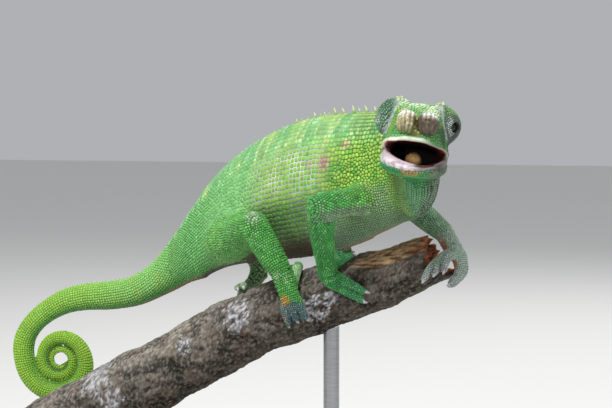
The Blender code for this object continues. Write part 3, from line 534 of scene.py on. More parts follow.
# Rims of the eye sockets and ridges of the crown, in the head's frame: x, y, z, radius
RIM_RIGHT = (
    (-3.0, -5.9, 5.9, 1.0), (2.8, -5.8, 5.0, 1.35), (6.3, -6.2, 1.8, 1.35), (6.6, -7.0, -1.5, 1.2),
    (4.6, -8.2, -3.8, 0.9), (1.6, -9.2, -5.2, 0.5),
)
RIM_LEFT = (
    (-3.0, 6.2, 5.8, 0.7), (3.6, 5.8, 5.0, 1.1), (7.2, 5.8, 2.1, 1.25), (8.3, 6.3, -0.8, 1.15),
    (6.6, 7.5, -3.0, 0.8), (4.6, 8.6, -5.0, 0.5),
)
CROWN_RIDGE = ((5.0, 5.6, 4.4, 0.5), (-3.0, 6.2, 5.9, 0.7), (-10.0, 5.2, 6.3, 0.7), (-17.0, 3.4, 7.2, 0.6),
               (-21.5, 1.0, 7.4, 0.6))
# Limb joints and radii at even steps between them
ARM_RIGHT = ((48.5, -11.5, 111.0), (36.0, -27.0, 109.0), (32.4, -11.6, 89.2))
ARM_LEFT = ((51.3, -4.6, 110.8), (52.3, 14.0, 106.4), (67.6, 0.6, 98.4))
LEG_RIGHT = ((-7.0, 7.0, 95.0), (9.2, -10.6, 101.6), (20.6, -12.4, 85.4))
LEG_LEFT = ((-8.0, 16.6, 97.0), (-2.6, 28.0, 95.0), (1.6, 12.6, 83.4))
ARM_RADII = ((5.4, 4.8, 4.2, 4.0), (3.9, 3.9, 3.6, 3.1), (3.0, 2.9))
LEG_RADII = ((7.4, 6.4, 5.3, 4.7), (4.6, 4.4, 4.1, 3.5), (3.2, 3.1))
WRIST_SHARE = 0.78
# Grips: where the palm ends, then two bundles of toes. A bundle is a count of toes, its middle line,
# the step from toe to toe at root and tip, and the radii there. A place is x along the branch, angle
# round it from the near side, and lift above the bark.
HAND_RIGHT = (
    (34.6, 28, 2.9),
    (2, ((35.4, 22, 2.6), (39.2, 4, 2.2), (42.8, -21, 1.6)), ((1.1, 0.0, 1.6), (1.7, 0.0, 2.5)), (2.2, 1.15)),
    (3, ((35.8, 46, 2.6), (38.6, 58, 2.1), (41.2, 70, 1.5)), ((-0.7, 0.6, 0.5), (-1.3, 1.4, 0.6)),
     (1.9, 1.2)),
)
FOOT_RIGHT = (
    (22.6, 15, 2.9),
    (3, ((22.4, 6, 2.5), (22.0, -7, 2.0), (21.6, -22, 1.4)), ((2.1, 0.0, 0.7), (2.9, 0.0, 1.1)),
     (1.75, 1.15)),
    (2, ((23.0, 32, 2.6), (23.7, 52, 2.1), (23.6, 75, 1.5)), ((1.0, 0.0, 0.4), (1.9, 0.0, 0.7)), (2.4, 1.8)),
)
FOOT_LEFT = (
    (2.4, 131, 3.0),
    (3, ((3.0, 150, 2.4), (3.9, 173, 1.9), (4.9, 196, 1.4)), ((1.5, 0.0, 0.4), (2.5, 0.0, 0.9)), (2.0, 1.3)),
    (2, ((3.8, 116, 2.5), (5.2, 94, 2.0), (6.8, 70, 1.5)), ((1.0, 0.0, 0.4), (1.9, 0.0, 0.7)), (2.1, 1.3)),
)
# The left hand holds the broken end, so its places are plain x, y, z
HAND_LEFT = (
    (69.0, -2.4, 95.4),
    (3, ((68.0, -5.4, 94.6), (66.0, -9.0, 91.6), (65.0, -9.9, 88.6)), ((1.7, 0.3, 1.0), (3.0, 0.2, 1.5)),
     (1.7, 1.2)),
    (2, ((70.6, -2.6, 93.8), (71.4, -3.2, 89.2), (68.4, -4.6, 85.2)), ((0.2, 2.0, 0.0), (0.3, 2.4, 0.0)),
     (2.2, 1.4)),
)
LIMBS = (
    ("arm_right", ARM_RIGHT, ARM_RADII, HAND_RIGHT, True),
    ("leg_right", LEG_RIGHT, LEG_RADII, FOOT_RIGHT, True),
    ("arm_left", ARM_LEFT, ARM_RADII, HAND_LEFT, False),
    ("leg_left", LEG_LEFT, LEG_RADII, FOOT_LEFT, True),
)


def travelled(points):
    """Distances along a line of points from its first one."""
    return np.concatenate([[0.0], np.cumsum(np.linalg.norm(np.diff(points, axis=0), axis=1))])


def signed_power(values, power):
    """Values raised to a power, with their signs kept."""
    return np.sign(values) * np.abs(values) ** power


def coil_row(angle, share=1.0):
    """A station of the coil at an angle on its spiral, with its thickness by a share."""
    past = angle - COIL_START
    radius = COIL_RADIUS * math.exp(-COIL_SHRINK * past - COIL_TIGHTEN * past**2)
    turn, heading = math.radians(angle), math.radians(COIL_HEADING)
    half = radius * (COIL_THICKNESS + COIL_SWELL * past) * share
    return (
        COIL_CENTRE[0] + radius * math.cos(turn) * math.cos(heading),
        COIL_CENTRE[1] + radius * math.cos(turn) * math.sin(heading),
        COIL_CENTRE[2] + radius * math.sin(turn), COIL_HEADING, half, half * COIL_FLATNESS, 1.0, 1.0,
    )


coil = [coil_row(angle) for angle in np.arange(COIL_START, COIL_END + 1, COIL_STEP)]
coil += [coil_row(COIL_END + past, share) for past, share in COIL_TIP]
spine = smooth_rows(list(TRUNK) + coil, 8)
spine_distance = travelled(spine[:, :3])
BODY_LENGTH = spine_distance[-1]
headings = np.radians(spine[:, 3])
spine_left = np.stack([-np.sin(headings), np.cos(headings), 0 * headings], 1)
spine_ahead = -np.gradient(spine[:, :3], axis=0)
spine_ahead -= spine_left * (spine_ahead * spine_left).sum(1)[:, None]
spine_ahead = unit_rows(spine_ahead)
spine_up = np.array((0.0, 0.0, 1.0)) * (1 - spine[:, 7:8]) + np.cross(spine_ahead, spine_left) * spine[:, 7:8]
spine_up = unit_rows(spine_up)
spine_table = np.hstack([spine[:, :3], spine_left, spine_up, spine[:, 4:7]])


def body_rings(distances, turns):
    """Points on the body: one ring for each distance back from the throat, turned round from its ridge."""
    row = between_rows(distances, spine_distance, spine_table)
    middle, left, up = row[:, None, 0:3], row[:, None, 3:6], row[:, None, 6:9]
    half, width, keel = row[:, 9, None], row[:, 10, None], row[:, 11, None]
    across = signed_power(np.sin(turns), keel) * width
    return middle + left * across[..., None] + up * (half * np.cos(turns))[..., None]


head_matrix = (
    Matrix.Translation(HEAD_PLACE) @ Matrix.Rotation(math.radians(HEAD_HEADING), 4, "Z")
    @ Matrix.Rotation(math.radians(-HEAD_PITCH), 4, "Y") @ Matrix.Rotation(math.radians(HEAD_ROLL), 4, "X")
)
jaw_matrix = (
    head_matrix @ Matrix.Translation(JAW_HINGE) @ Matrix.Rotation(math.radians(JAW_OPEN), 4, "Y")
    @ Matrix.Translation([-c for c in JAW_HINGE])
)


def moved(matrix, points):
    """Points of a frame in the world, as an array."""
    matrix = np.array(matrix)
    return np.asarray(points, float) @ matrix[:3, :3].T + matrix[:3, 3]


def in_head(points):
    """Points of the world in the head's frame."""
    return moved(head_matrix.inverted(), points)


def cranium_half(row):
    ridge, ridge_z, top_z, cheek, cheek_z, lip, lip_z, palate_z = row[1:]
    return [
        (0.0, top_z), (0.5 * ridge, top_z + 0.1), (0.84 * ridge, ridge_z), (ridge, ridge_z - 0.7),
        ((ridge + cheek) / 2 + 0.2, (ridge_z + cheek_z) / 2), (cheek, cheek_z),
        (0.4 * cheek + 0.6 * lip - 0.1, lip_z + 2.1), (lip, lip_z + 1.2), (lip, lip_z + 0.5),
        (lip - 0.5, lip_z), (0.8 * lip - 0.4, 0.3 * lip_z + 0.7 * palate_z), (0.0, palate_z),
    ]


def mandible_half(row):
    width, lip_z, floor_z, side_z, under_z = row[1:]
    return [
        (0.0, floor_z), (0.7 * width - 0.3, floor_z + 0.1), (0.84 * width - 0.2, lip_z - 0.1),
        (width - 0.35, lip_z), (width, lip_z - 0.7), (width - 0.1, side_z),
        (0.8 * width, 0.6 * under_z + 0.4 * side_z), (0.45 * width, under_z), (0.0, under_z),
    ]


def lip_droop(y):
    """How much lower the upper lip is, at places across the head."""
    return LIP_DROOP * rising(y, 1.0, 7.0)


def jaw_rings(rows, half_of, matrix, droop):
    """Rings of a jaw: the half outline of each row, mirrored and rounded between its corners."""
    grid = []
    for row in smooth_rows(rows, 5):
        half = half_of(row)
        outline = half + [(-y, z) for y, z in reversed(half[1:-1])]
        rounded = smooth_rows(outline[-1:] + outline + outline[:2], 4)[4:-8]
        hung = droop * lip_droop(rounded[:, 0]) * falling(rounded[:, 1], -7.5, -4.0)
        grid.append([(row[0], y, z) for y, z in zip(rounded[:, 0], rounded[:, 1] - hung)])
    grid = np.array(grid)
    return moved(matrix, grid.reshape(-1, 3)).reshape(grid.shape)


def tube_rings(rows, steps, sides):
    """Rings of a round tube along rows of x, y, z, radius, with domed ends."""
    rows = smooth_rows(rows, steps)
    middles, radii = rows[:, :3], rows[:, 3]
    first, last = unit(middles[0] - middles[1]), unit(middles[-1] - middles[-2])
    before, after = [], []
    for step in (0.99, 0.9, 0.7, 0.4):
        shrink = math.sqrt(1 - step**2)
        before.append((*(middles[0] + first * radii[0] * step), radii[0] * shrink))
        after.append((*(middles[-1] + last * radii[-1] * step), radii[-1] * shrink))
    rows = np.array(before + [tuple(row) for row in rows] + after[::-1])
    across = np.cross(first, (0.3, 0.5, 0.81))
    turns = round_turns(sides)
    grid = []
    for index, row in enumerate(rows):
        along = unit(rows[min(index + 1, len(rows) - 1), :3] - rows[max(index - 1, 0), :3])
        across = unit(across - along * across.dot(along))
        other = np.cross(along, across)
        grid.append(row[:3] + row[3] * (np.outer(np.cos(turns), across) + np.outer(np.sin(turns), other)))
    return np.array(grid)


def on_branch(place):
    """The world place of x along the branch, angle round it and lift above the bark."""
    x, angle, lift = place
    row = branch_at(x)
    over = unit(np.cross(near, branch_at(x + 1)[:3] - row[:3]))
    turn = math.radians(angle)
    return row[:3] + (row[3] + lift) * (near * math.cos(turn) + over * math.sin(turn))


def rows_in(matrix, rows):
    """Rows of x, y, z, radius of a frame in the world."""
    rows = np.array(rows, float)
    return np.hstack([moved(matrix, rows[:, :3]), rows[:, 3:]])


def bone_rows(start, end, radii):
    """Rows of x, y, z, radius at even steps between two joints."""
    shares = np.linspace(0, 1, len(radii))[:, None]
    return np.hstack([np.array(start) * (1 - shares) + np.array(end) * shares, np.array(radii)[:, None]])


forms = {}
forms["body"] = body_rings(
    np.linspace(0.0, BODY_LENGTH, round(BODY_LENGTH / RING_STEP)), round_turns(BODY_SIDES)
)
forms["cranium"] = jaw_rings(CRANIUM, cranium_half, head_matrix, 1.0)
forms["mandible"] = jaw_rings(MANDIBLE, mandible_half, jaw_matrix, 0.0)
upper_line = [(x, lip - 0.35, lip_z + 0.5) for x, _, _, _, _, _, lip, lip_z, _ in CRANIUM[:9]]
lower_line = [(x, width - 0.5, lip_z - 0.35) for x, width, lip_z, _, _, _ in MANDIBLE[:8]]
for lip_name, line, matrix, front in (
    ("lip_upper", upper_line, head_matrix, (18.0, 0.0, -7.7)),
    ("lip_lower", lower_line, jaw_matrix, (17.1, 0.0, -9.1)),
):
    whole = [(x, y, z) for x, y, z in reversed(line)] + [front] + [(x, -y, z) for x, y, z in line]
    whole = np.array(whole)
    share = 0.5 + 0.5 * whole[:, 1] / whole[:, 1].max()
    thickness = np.interp(share, np.linspace(0, 1, 5), LIP_RADII[lip_name])
    if lip_name == "lip_upper":
        whole[:, 2] -= lip_droop(whole[:, 1])
    rows = np.hstack([moved(matrix, whole), thickness[:, None]])
    forms[lip_name] = tube_rings(rows, 5, 14)
for side in (1, -1):
    web = np.vstack([
        moved(head_matrix, [(-9.5, side * 8.7, -7.4), (-8.6, side * 8.5, -8.6)]),
        moved(jaw_matrix, [(-8.0, side * 8.4, -9.2)]),
    ])
    forms[f"corner_{side}"] = tube_rings(np.hstack([web, [[1.3], [1.0], [1.3]]]), 4, 12)
    gum = [(x, side * y, z - GUM_DROP * (side > 0) * min(1.0, y / 4), radius) for x, y, z, radius in GUM]
    forms[f"gum_{side}"] = tube_rings(rows_in(jaw_matrix, gum), 4, 14)
    ridge = [(x, side * y, z, radius) for x, y, z, radius in CROWN_RIDGE]
    forms[f"crown_{side}"] = tube_rings(rows_in(head_matrix, ridge), 6, 12)
for rim_name, rim in (("rim_right", RIM_RIGHT), ("rim_left", RIM_LEFT)):
    forms[rim_name] = tube_rings(rows_in(head_matrix, rim), 5, 12)
claw_lines = []
for limb, joints, radii, grip, along_branch in LIMBS:
    wrist = np.array(joints[1]) + (np.array(joints[2]) - np.array(joints[1])) * WRIST_SHARE
    forms[f"{limb}_upper"] = tube_rings(bone_rows(joints[0], joints[1], radii[0]), 7, 28)
    forms[f"{limb}_lower"] = tube_rings(bone_rows(joints[1], wrist, radii[1]), 7, 26)
    palm = on_branch(grip[0]) if along_branch else np.array(grip[0])
    forms[f"{limb}_palm"] = tube_rings(bone_rows(wrist, palm, radii[2]), 5, 24)
    for bundle, (count, line, spread, toe_radii) in enumerate(grip[1:]):
        line = np.array([on_branch(place) if along_branch else place for place in line])
        shares = np.linspace(0, 1, len(line))[:, None]
        step = np.array(spread[0]) * (1 - shares) + np.array(spread[1]) * shares
        thickness = toe_radii[0] + (toe_radii[1] - toe_radii[0]) * shares
        for number in range(count):
            shift = number - (count - 1) / 2
            toe = line + shift * step
            toe[-1] -= (toe[-1] - toe[-2]) * (0.08 + 0.16 * ((number + bundle) % 2))
            forms[f"{limb}_toe_{bundle}_{number}"] = tube_rings(np.hstack([toe, thickness]), 6, 16)
            claw_lines.append(toe)


def join(joined, part):
    """Moves a bmesh into another one."""
    scratch = bpy.data.meshes.new("scratch")
    part.to_mesh(scratch)
    part.free()
    joined.from_mesh(scratch)
    bpy.data.meshes.remove(scratch)


def smoothed(bm, verts, factor):
    bmesh.ops.smooth_vert(bm, verts=verts, factor=factor, use_axis_x=True, use_axis_y=True, use_axis_z=True)


joined = bmesh.new()
for grid in forms.values():
    join(joined, rolled(grid))
turrets = (("left", 1, GAZE_LEFT), ("right", -1, GAZE_RIGHT))
for side_name, side, gaze in turrets:
    look = Vector(gaze).normalized()
    ball = bmesh.new()
    bmesh.ops.create_uvsphere(ball, u_segments=48, v_segments=28, radius=TURRET_RADIUS)
    for vert in ball.verts:
        facing = max(0.0, (vert.co.normalized().dot(look) - LID_SPREAD) / (1 - LID_SPREAD))
        vert.co *= 1 + LID_RISE / TURRET_RADIUS * facing**1.5
    bmesh.ops.translate(ball, vec=(0.0, side * TURRET_SIDE, TURRET_HEIGHTS[side_name]), verts=ball.verts)
    bmesh.ops.transform(ball, matrix=head_matrix, verts=ball.verts)
    forms[f"turret_{side_name}"] = np.array([vert.co for vert in ball.verts])[None]
    join(joined, ball)
bmesh.ops.scale(joined, vec=(MM, MM, MM), verts=joined.verts)
whole = bpy.data.meshes.new("whole")
joined.to_mesh(whole)
joined.free()
melt = bpy.data.objects.new("melt", whole)
bpy.context.scene.collection.objects.link(melt)
remesh = melt.modifiers.new("melt", "REMESH")
remesh.mode = "VOXEL"
remesh.voxel_size = SKIN_VOXEL * MM
bpy.context.view_layer.update()
melted = bpy.data.meshes.new_from_object(melt.evaluated_get(bpy.context.evaluated_depsgraph_get()))
bpy.data.objects.remove(melt, do_unlink=True)
bm = bmesh.new()
bm.from_mesh(melted)
bmesh.ops.scale(bm, vec=(1 / MM, 1 / MM, 1 / MM), verts=bm.verts)
for _ in range(SKIN_SMOOTHING):
    smoothed(bm, bm.verts, 0.5)
# Shoulders and hips are smoothed further, so that each limb flows out of the body
for limb, joints, radii, _, _ in LIMBS:
    reach = 2 * radii[0][0] + SHOULDER_REACH
    around = [vert for vert in bm.verts if (vert.co - Vector(joints[0])).length < reach]
    for _ in range(SHOULDER_SMOOTHING[limb[:3]]):
        smoothed(bm, around, 0.5)


def world_direction(direction):
    """A direction of the head's frame in the world, as a unit array."""
    return np.array(head_matrix.to_3x3() @ Vector(direction).normalized())


eye_middles, eye_looks = {}, {}
holes = []
for side_name, side, gaze in turrets:
    eye_middles[side_name] = moved(head_matrix, [(0.0, side * TURRET_SIDE, TURRET_HEIGHTS[side_name])])[0]
    eye_looks[side_name] = world_direction(gaze)
    front = eye_middles[side_name] + eye_looks[side_name] * (TURRET_RADIUS + LID_RISE)
    holes.append((front, eye_looks[side_name], OPENING_RADIUS, OPENING_DEPTH, 0.3))
    nostril = moved(head_matrix, [(NOSTRIL[0], side * NOSTRIL[1], NOSTRIL[2])])[0]
    holes.append((nostril, world_direction((0.35, side, 0.1)), NOSTRIL_RADIUS, 0.9, 0.12))
for middle, _, radius, _, _ in holes:
    around = [f for f in bm.faces if (f.calc_center_median() - Vector(middle)).length < radius + 1.1]
    edges = list({edge for face in around for edge in face.edges})
    bmesh.ops.subdivide_edges(bm, edges=edges, cuts=2, use_grid_fill=True)
bm.normal_update()
skin_places = np.array([vert.co for vert in bm.verts])
skin_normals = np.array([vert.normal for vert in bm.verts])
for middle, look, radius, depth, lip in holes:
    offset = skin_places - middle
    axial = offset @ look
    reach = np.linalg.norm(offset - axial[:, None] * look, axis=1)
    facing = (np.abs(axial) < 2.0) & (reach < radius + 1.5)
    sink = depth * falling(reach, 0.72 * radius, 1.08 * radius)
    rise = lip * np.exp(-(((reach - 1.3 * radius) / 0.4) ** 2))
    skin_places += np.where(facing, rise - sink, 0.0)[:, None] * look

# Where each point of the skin comes from: the form nearest to it, and its ring and side there
form_names = list(forms)
origin_finder = tree_of(np.vstack([grid.reshape(-1, 3) for grid in forms.values()]))
origin_rows = np.array([
    (form_index, ring / max(1, grid.shape[0] - 1), side / grid.shape[1])
    for form_index, grid in enumerate(forms.values())
    for ring in range(grid.shape[0]) for side in range(grid.shape[1])
])


def origins(points):
    """For each point its nearest form's number, and its shares along and around that form."""
    return origin_rows[[origin_finder.find(point)[1] for point in points]]


def in_forms(rows, *starts):
    """Which points come from forms whose names begin with one of these words."""
    wanted = [index for index, name in enumerate(form_names) if name.startswith(starts)]
    return np.isin(rows[:, 0], wanted)


skin_origins = origins(skin_places)
# Folds of the skin: upright pleats on the throat, spokes round the eye lids, creases in the elbow's
# pit and at the ankles. Each is a wave pressed into the skin where a mask lets it.
THROAT_AXIS, THROAT_MIDDLE, THROAT_RADIUS = (60.5, -17.0), -62.0, 8.0
PLEAT_PITCH, PLEAT_DEPTH = 1.25, 0.24
LID_SPOKES, LID_FOLD = 32, 0.18
ELBOW_PIT, ELBOW_SPOKES, ELBOW_FOLD = (39.5, -22.0, 104.5), 30, 0.12
ANKLE_TOP, ANKLE_END, ANKLE_PITCH, ANKLE_FOLD = (14.8, -14.5, 96.0), (21.0, -13.0, 81.0), 1.35, 0.15


def throat_turns(points):
    """Angle round the throat's upright axis from its front, and distance from that axis."""
    flat = points[:, :2] - np.array(THROAT_AXIS)
    turn = np.degrees(np.arctan2(flat[:, 1], flat[:, 0])) - THROAT_MIDDLE
    return (turn + 180) % 360 - 180, np.linalg.norm(flat, axis=1)


def throat_mask(points, rows):
    turn, _ = throat_turns(points)
    mask = falling(np.abs(turn), 60.0, 95.0) * rising(points[:, 2], 104.8, 107.5)
    return mask * falling(points[:, 2], 121.0, 124.0) * in_forms(rows, "body")


def across_look(side_name):
    """Two directions square to an eye's gaze, level and upward."""
    level = unit(np.cross(eye_looks[side_name], (0.0, 0.0, 1.0)))
    return level, np.cross(level, eye_looks[side_name])


def off_gaze(points, side_name):
    """Angles of points off an eye's gaze, in degrees."""
    offset = points - eye_middles[side_name]
    share = offset @ eye_looks[side_name] / np.linalg.norm(offset, axis=1)
    return np.degrees(np.arccos(np.clip(share, -1, 1)))


def lid_wave(points, side_name):
    """Waves of the lid's folds round its opening, and angle off the gaze in degrees."""
    offset = points - eye_middles[side_name]
    level, upward = across_look(side_name)
    spoke = np.arctan2(offset @ upward, offset @ level)
    off_axis = off_gaze(points, side_name)
    return np.cos(LID_SPOKES * (spoke + 0.004 * off_axis)), off_axis


def sections_of(name):
    """Middles and radii of a tube's rings."""
    middles = forms[name].mean(axis=1)
    return middles, np.linalg.norm(forms[name][:, 0] - middles, axis=1)


def off_tubes(points, *starts):
    """Distances of points from the nearest tube whose name begins with one of these words."""
    nearest = np.full(len(points), np.inf)
    for name in (name for name in forms if name.startswith(starts)):
        for middle, radius in zip(*sections_of(name)):
            nearest = np.minimum(nearest, np.linalg.norm(points - middle, axis=1) - radius)
    return nearest


throat = throat_mask(skin_places, skin_origins)
turn = throat_turns(skin_places)[0]
pleats = PLEAT_DEPTH * (0.5 + 0.8 * rising(turn, -10.0, 20.0)) * throat
pleats = pleats * np.cos(np.radians(turn) * THROAT_RADIUS * 2 * math.pi / PLEAT_PITCH)
folds = pleats - PLEAT_DEPTH * 0.5 * throat
for side_name, depth in (("right", LID_FOLD), ("left", 0.3 * LID_FOLD)):
    wave, off_axis = lid_wave(skin_places, side_name)
    mask = rising(off_axis, 22.0, 34.0) * falling(off_axis, 95.0, 115.0)
    folds = folds + depth * mask * in_forms(skin_origins, f"turret_{side_name}") * (wave - 0.5)
offset = skin_places - np.array(ELBOW_PIT)
spoke = np.arctan2(offset[:, 2], offset[:, 0])
folds = folds + ELBOW_FOLD * spot(skin_places, ELBOW_PIT, 8.0) * np.cos(ELBOW_SPOKES * spoke)
ankle_line = np.array(ANKLE_END) - np.array(ANKLE_TOP)
ankle_share = (skin_places - np.array(ANKLE_TOP)) @ ankle_line / ankle_line.dot(ankle_line)
mask = rising(ankle_share, -0.1, 0.3) * falling(ankle_share, 0.9, 1.1)
mask = mask * in_forms(skin_origins, "leg_right_lower", "leg_right_palm")
waves = np.cos(ankle_share * np.linalg.norm(ankle_line) * 2 * math.pi / ANKLE_PITCH)
folds = folds + ANKLE_FOLD * mask * waves
# Grooves between neighbouring toes of a bundle
TOE_GROOVE, GROOVE_WIDTH = 0.45, 0.5


def between_toes(points, limb):
    """How near each point is to the groove between two toes of one bundle, from 0 to 1."""
    groove = np.zeros(len(points))
    for bundle in (0, 1):
        clear, ahead = [], []
        for name in (name for name in forms if name.startswith(f"{limb}_toe_{bundle}")):
            middles, radii = sections_of(name)
            distance = np.linalg.norm(points[:, None] - middles[None], axis=2) - radii[None]
            clear.append(distance.min(axis=1))
            ahead.append(distance.argmin(axis=1) / len(middles))
        order = np.argsort(clear, axis=0)
        first = np.take_along_axis(np.array(clear), order[:1], 0)[0]
        second = np.take_along_axis(np.array(clear), order[1:2], 0)[0]
        share = np.take_along_axis(np.array(ahead), order[:1], 0)[0]
        near_both = np.exp(-(((second - first) / GROOVE_WIDTH) ** 2)) * falling(second, 0.5, 1.1)
        groove = np.maximum(groove, near_both * rising(share, 0.3, 0.5))
    return groove


for limb, *_ in LIMBS:
    own = np.flatnonzero(in_forms(skin_origins, f"{limb}_toe", f"{limb}_palm"))
    folds[own] -= TOE_GROOVE * between_toes(skin_places[own], limb)
skin_places = skin_places + (folds - COAT_DEPTH)[:, None] * skin_normals
for vert, place in zip(bm.verts, skin_places):
    vert.co = place
smoothed(bm, bm.verts, 0.25)
bm.normal_update()
skin_places = np.array([vert.co for vert in bm.verts])
skin_normals = np.array([vert.normal for vert in bm.verts])
skin_tree = BVHTree.FromBMesh(bm)
# Inside the mouth a step off the skin soon meets the skin of the other jaw or cheek
MOUTH_REACH = 15.0


def mouth_wall(points, normals, rows):
    """Which points of the skin are inside the mouth."""
    x, y, z = in_head(points).T
    inside = np.zeros(len(points), bool)
    region = (np.abs(x) < 17.0) & (np.abs(y) < 9.6) & (z < -4.5) & (z > -16.0)
    outer = in_forms(rows, "rim", "crown", "turret")
    for index in np.flatnonzero(region & ~outer):
        start = Vector(points[index] + 0.15 * normals[index])
        place, normal, _, _ = skin_tree.ray_cast(start, Vector(normals[index]), MOUTH_REACH)
        if place is not None and normal.dot(Vector(normals[index])) < -0.1:
            met = head_matrix.inverted() @ place
            inside[index] = -17.0 < met.z < -4.0 and abs(met.y) < 9.6 and met.x > -16.0
    cavity = (np.abs(y) < 7.2) & (z < -6.6) & (z > np.where(x < -2.0, -12.8, -14.5)) & (x < 9.0) & (x > -14.0)
    return inside | cavity & in_forms(rows, "body", "cranium", "mandible")


def lip_edge(stations, x, column):
    """Half widths and heights of a jaw's lip along the head, from its stations and their columns."""
    rows = np.array(stations[::-1])
    return np.interp(x, rows[:, 0], rows[:, column]), np.interp(x, rows[:, 0], rows[:, column + 1])


def between_jaws(points, normals, rows):
    """Which points of a jaw face the mouth: under the palate, over its floor, or inwards."""
    upper, lower = in_head(points).T, moved(jaw_matrix.inverted(), points).T
    facing = (normals @ np.array(head_matrix.to_3x3())).T
    width, height = lip_edge(CRANIUM, upper[0], 6)
    height = height - lip_droop(upper[1])
    under = (np.abs(upper[1]) < width - 0.3) & (upper[2] < height + 0.7)
    under = (under | (facing[2] < -0.5) & (upper[2] < height + 1.5)) & in_forms(rows, "cranium")
    width, height = lip_edge(MANDIBLE, lower[0], 1)
    over = (np.abs(lower[1]) < width - 0.3) & (lower[2] > height - 0.7)
    over = (over | (facing[2] > 0.5) & (lower[2] > height - 1.5)) & in_forms(rows, "mandible")
    inwards = (facing[1] * np.sign(upper[1]) < -0.3) & (upper[2] < -5.5)
    inwards &= in_forms(rows, "cranium", "mandible", "corner", "gum", "lip")
    return (under | over | inwards) & (upper[0] > -11.0)


skin_faces = np.array([
    [vert.index for vert in face.verts[:4]] + [face.verts[0].index] * (4 - len(face.verts))
    for face in bm.faces
])

# Markings
# The colours of the living skin: bright green limbs, yellow-green flank scales with pale lavender
# skin between them, a banded back, grey-green chest and throat, tan underside, grey lids and feet.
# Elsewhere the skin between the scales is their colour darkened, as painted shade.
rng = np.random.default_rng(7)
# Pinkish spots on the right flank: middle, reach and strength
FLANK_SPOTS = (
    ((31.6, -11.8, 120.8), 3.0, 0.95), ((38.9, -13.2, 126.2), 2.2, 0.7), ((26.5, -10.0, 120.6), 2.2, 0.5),
)


def shaded(tones, share):
    """Colours made lighter or darker by a share for each."""
    return tones * np.asarray(share, float)[..., None]


def shade_beside_coil(points, back):
    """How near each point of the tail is to another turn of its coil, from 0 to 1: the strength of the
    painted shade there.
    """
    coiled = spine_distance > 150.0
    off = np.linalg.norm(points[:, None] - spine_table[coiled, :3], axis=2) - spine_table[coiled, 9]
    off[np.abs(back[:, None] - spine_distance[coiled]) < 12.0] = np.inf
    return falling(off.min(axis=1), 0.2, 1.2)


def body_tones(points, back, down):
    """Colours of the body's scales and of the skin between them, at distances back from the throat
    and shares down from the ridge to the keel. The skin between is the scales' colour darkened, as painted
    shade, save where it has pale colours of its own."""
    blotch, speckle = rough_at(points, 5.0, 21, 2), rough_at(points, 2.0, 22, 1)
    streak = rough_at(np.stack([back, 9.0 * down, 0 * back], 1), 1.5, 23, 2)
    fading = 0.5 + 0.5 * rising(rough_at(points, 4.0, 24, 2), -0.35, 0.25)
    band = 0.5 + 0.5 * np.sin(back * 2 * math.pi / 13.0 + 2.2 * blotch)
    dorsal, chest = falling(down, 0.16, 0.34), falling(back, 40, 50)
    flank = rising(down, 0.2, 0.3) * falling(down, 0.8, 0.92) * rising(back, 30, 44)
    low_flank = rising(down, 0.52, 0.66) * rising(back, 40, 50) * falling(back, 78, 94)
    belly = rising(down, 0.74, 0.9) * falling(back, 150, 175)
    belly = belly * (1 - rising(back, 82, 90) * falling(down, 0.9, 0.96))
    dorsal_tones = mixed("69b265", "a9cc70", band * (0.35 + 0.4 * rising(blotch, -0.2, 0.5)))
    dorsal_tones = mixed(dorsal_tones, "74bd7d", 0.5 * rising(back, 62, 80))
    dorsal_tones = layered(
        shaded(dorsal_tones, 1.05 + 0.5 * streak),
        ("cfe6c2", 0.55 * rising(streak, 0.2, 0.45)),
        ("b9c95a", 0.6 * rising(streak, 0.15, 0.5) * band),
    )
    tail_tones = layered(
        mixed("8ccb6c", "92c84a", rising(back, 125, 165)),
        ("55a047", rising(down, 0.55, 0.9)),
        ("a8bf3e", 0.5 * rising(blotch, 0.1, 0.5) * (1 - down)),
        ("96c832", rising(back, 168, 190) * (1 - 0.6 * down)),
    )
    tones = layered(
        mixed("93c048", "7fb338", rising(back, 32, 52)),
        ("4fae3a", 0.7 * rising(speckle, 0.05, 0.45) * falling(back, 50, 62)),
        ("6bb96a", 0.85 * rising(back, 62, 76)),
        ("457f2c", 0.9 * low_flank),
        (dorsal_tones, dorsal * falling(back, 112, 130)),
        ("b7c35c", 0.55 * falling(down, 0.03, 0.09) * band),
        # The tail is painted darker where it lies against another turn of its coil: painted shade
        (shaded(tail_tones, 1 - 0.75 * shade_beside_coil(points, back)), rising(back, 104, 128)),
        (mixed(mixed("4f422a", "627d5b", chest), "a26c44", rising(back, 96, 108)), belly),
        ("7d9c7c", 0.75 * chest * rising(down, 0.55, 0.68) * rising(back, 8, 20)),
        ("a5806a", 0.6 * chest * rising(down, 0.94, 0.98) * rising(back, 14, 22)),
        *(("b58d80", strength * spot(points, middle, reach)) for middle, reach, strength in FLANK_SPOTS),
    )
    lilac = mixed("dcd6de", "7b747c", rising(down, 0.46, 0.62))
    # The skin between the scales is their colour darkened, as painted shade, with pale lilac and green skin
    # of its own laid over it on the flank and back
    gaps = layered(
        0.45 * tones,
        (mixed(lilac, "9a9488", falling(back, 38, 46)), fading * flank * falling(back, 66, 76)),
        ("b4d9a6", 0.8 * fading * flank * rising(back, 64, 74) * falling(back, 84, 98)),
        ("a9cf9a", 0.6 * dorsal * falling(back, 90, 110)),
        ("3d5a1e", falling(back, 26, 38) * 0.8),
    )
    return tones, gaps


def throat_tones(points):
    """Colours of the throat's scales and gaps, by angle from its front."""
    turn, _ = throat_turns(points)
    tones = layered(
        mixed("8ab66a", "74b07c", rising(turn, -45, -15)),
        ("7c947c", rising(turn, 4, 22)),
        ("4d6450", rising(turn, 30, 52)),
    )
    # The gaps are the scales' colour darkened, as painted shade in the pleats, darker still on one side of
    # the front
    depth = 0.4 - 0.26 * rising(turn, 0, 16)
    share = rising(throat_mask(points, origins(points)), 0.1, 0.9)
    tones = mixed("80a35c", tones, share)
    return tones, shaded(tones, depth)


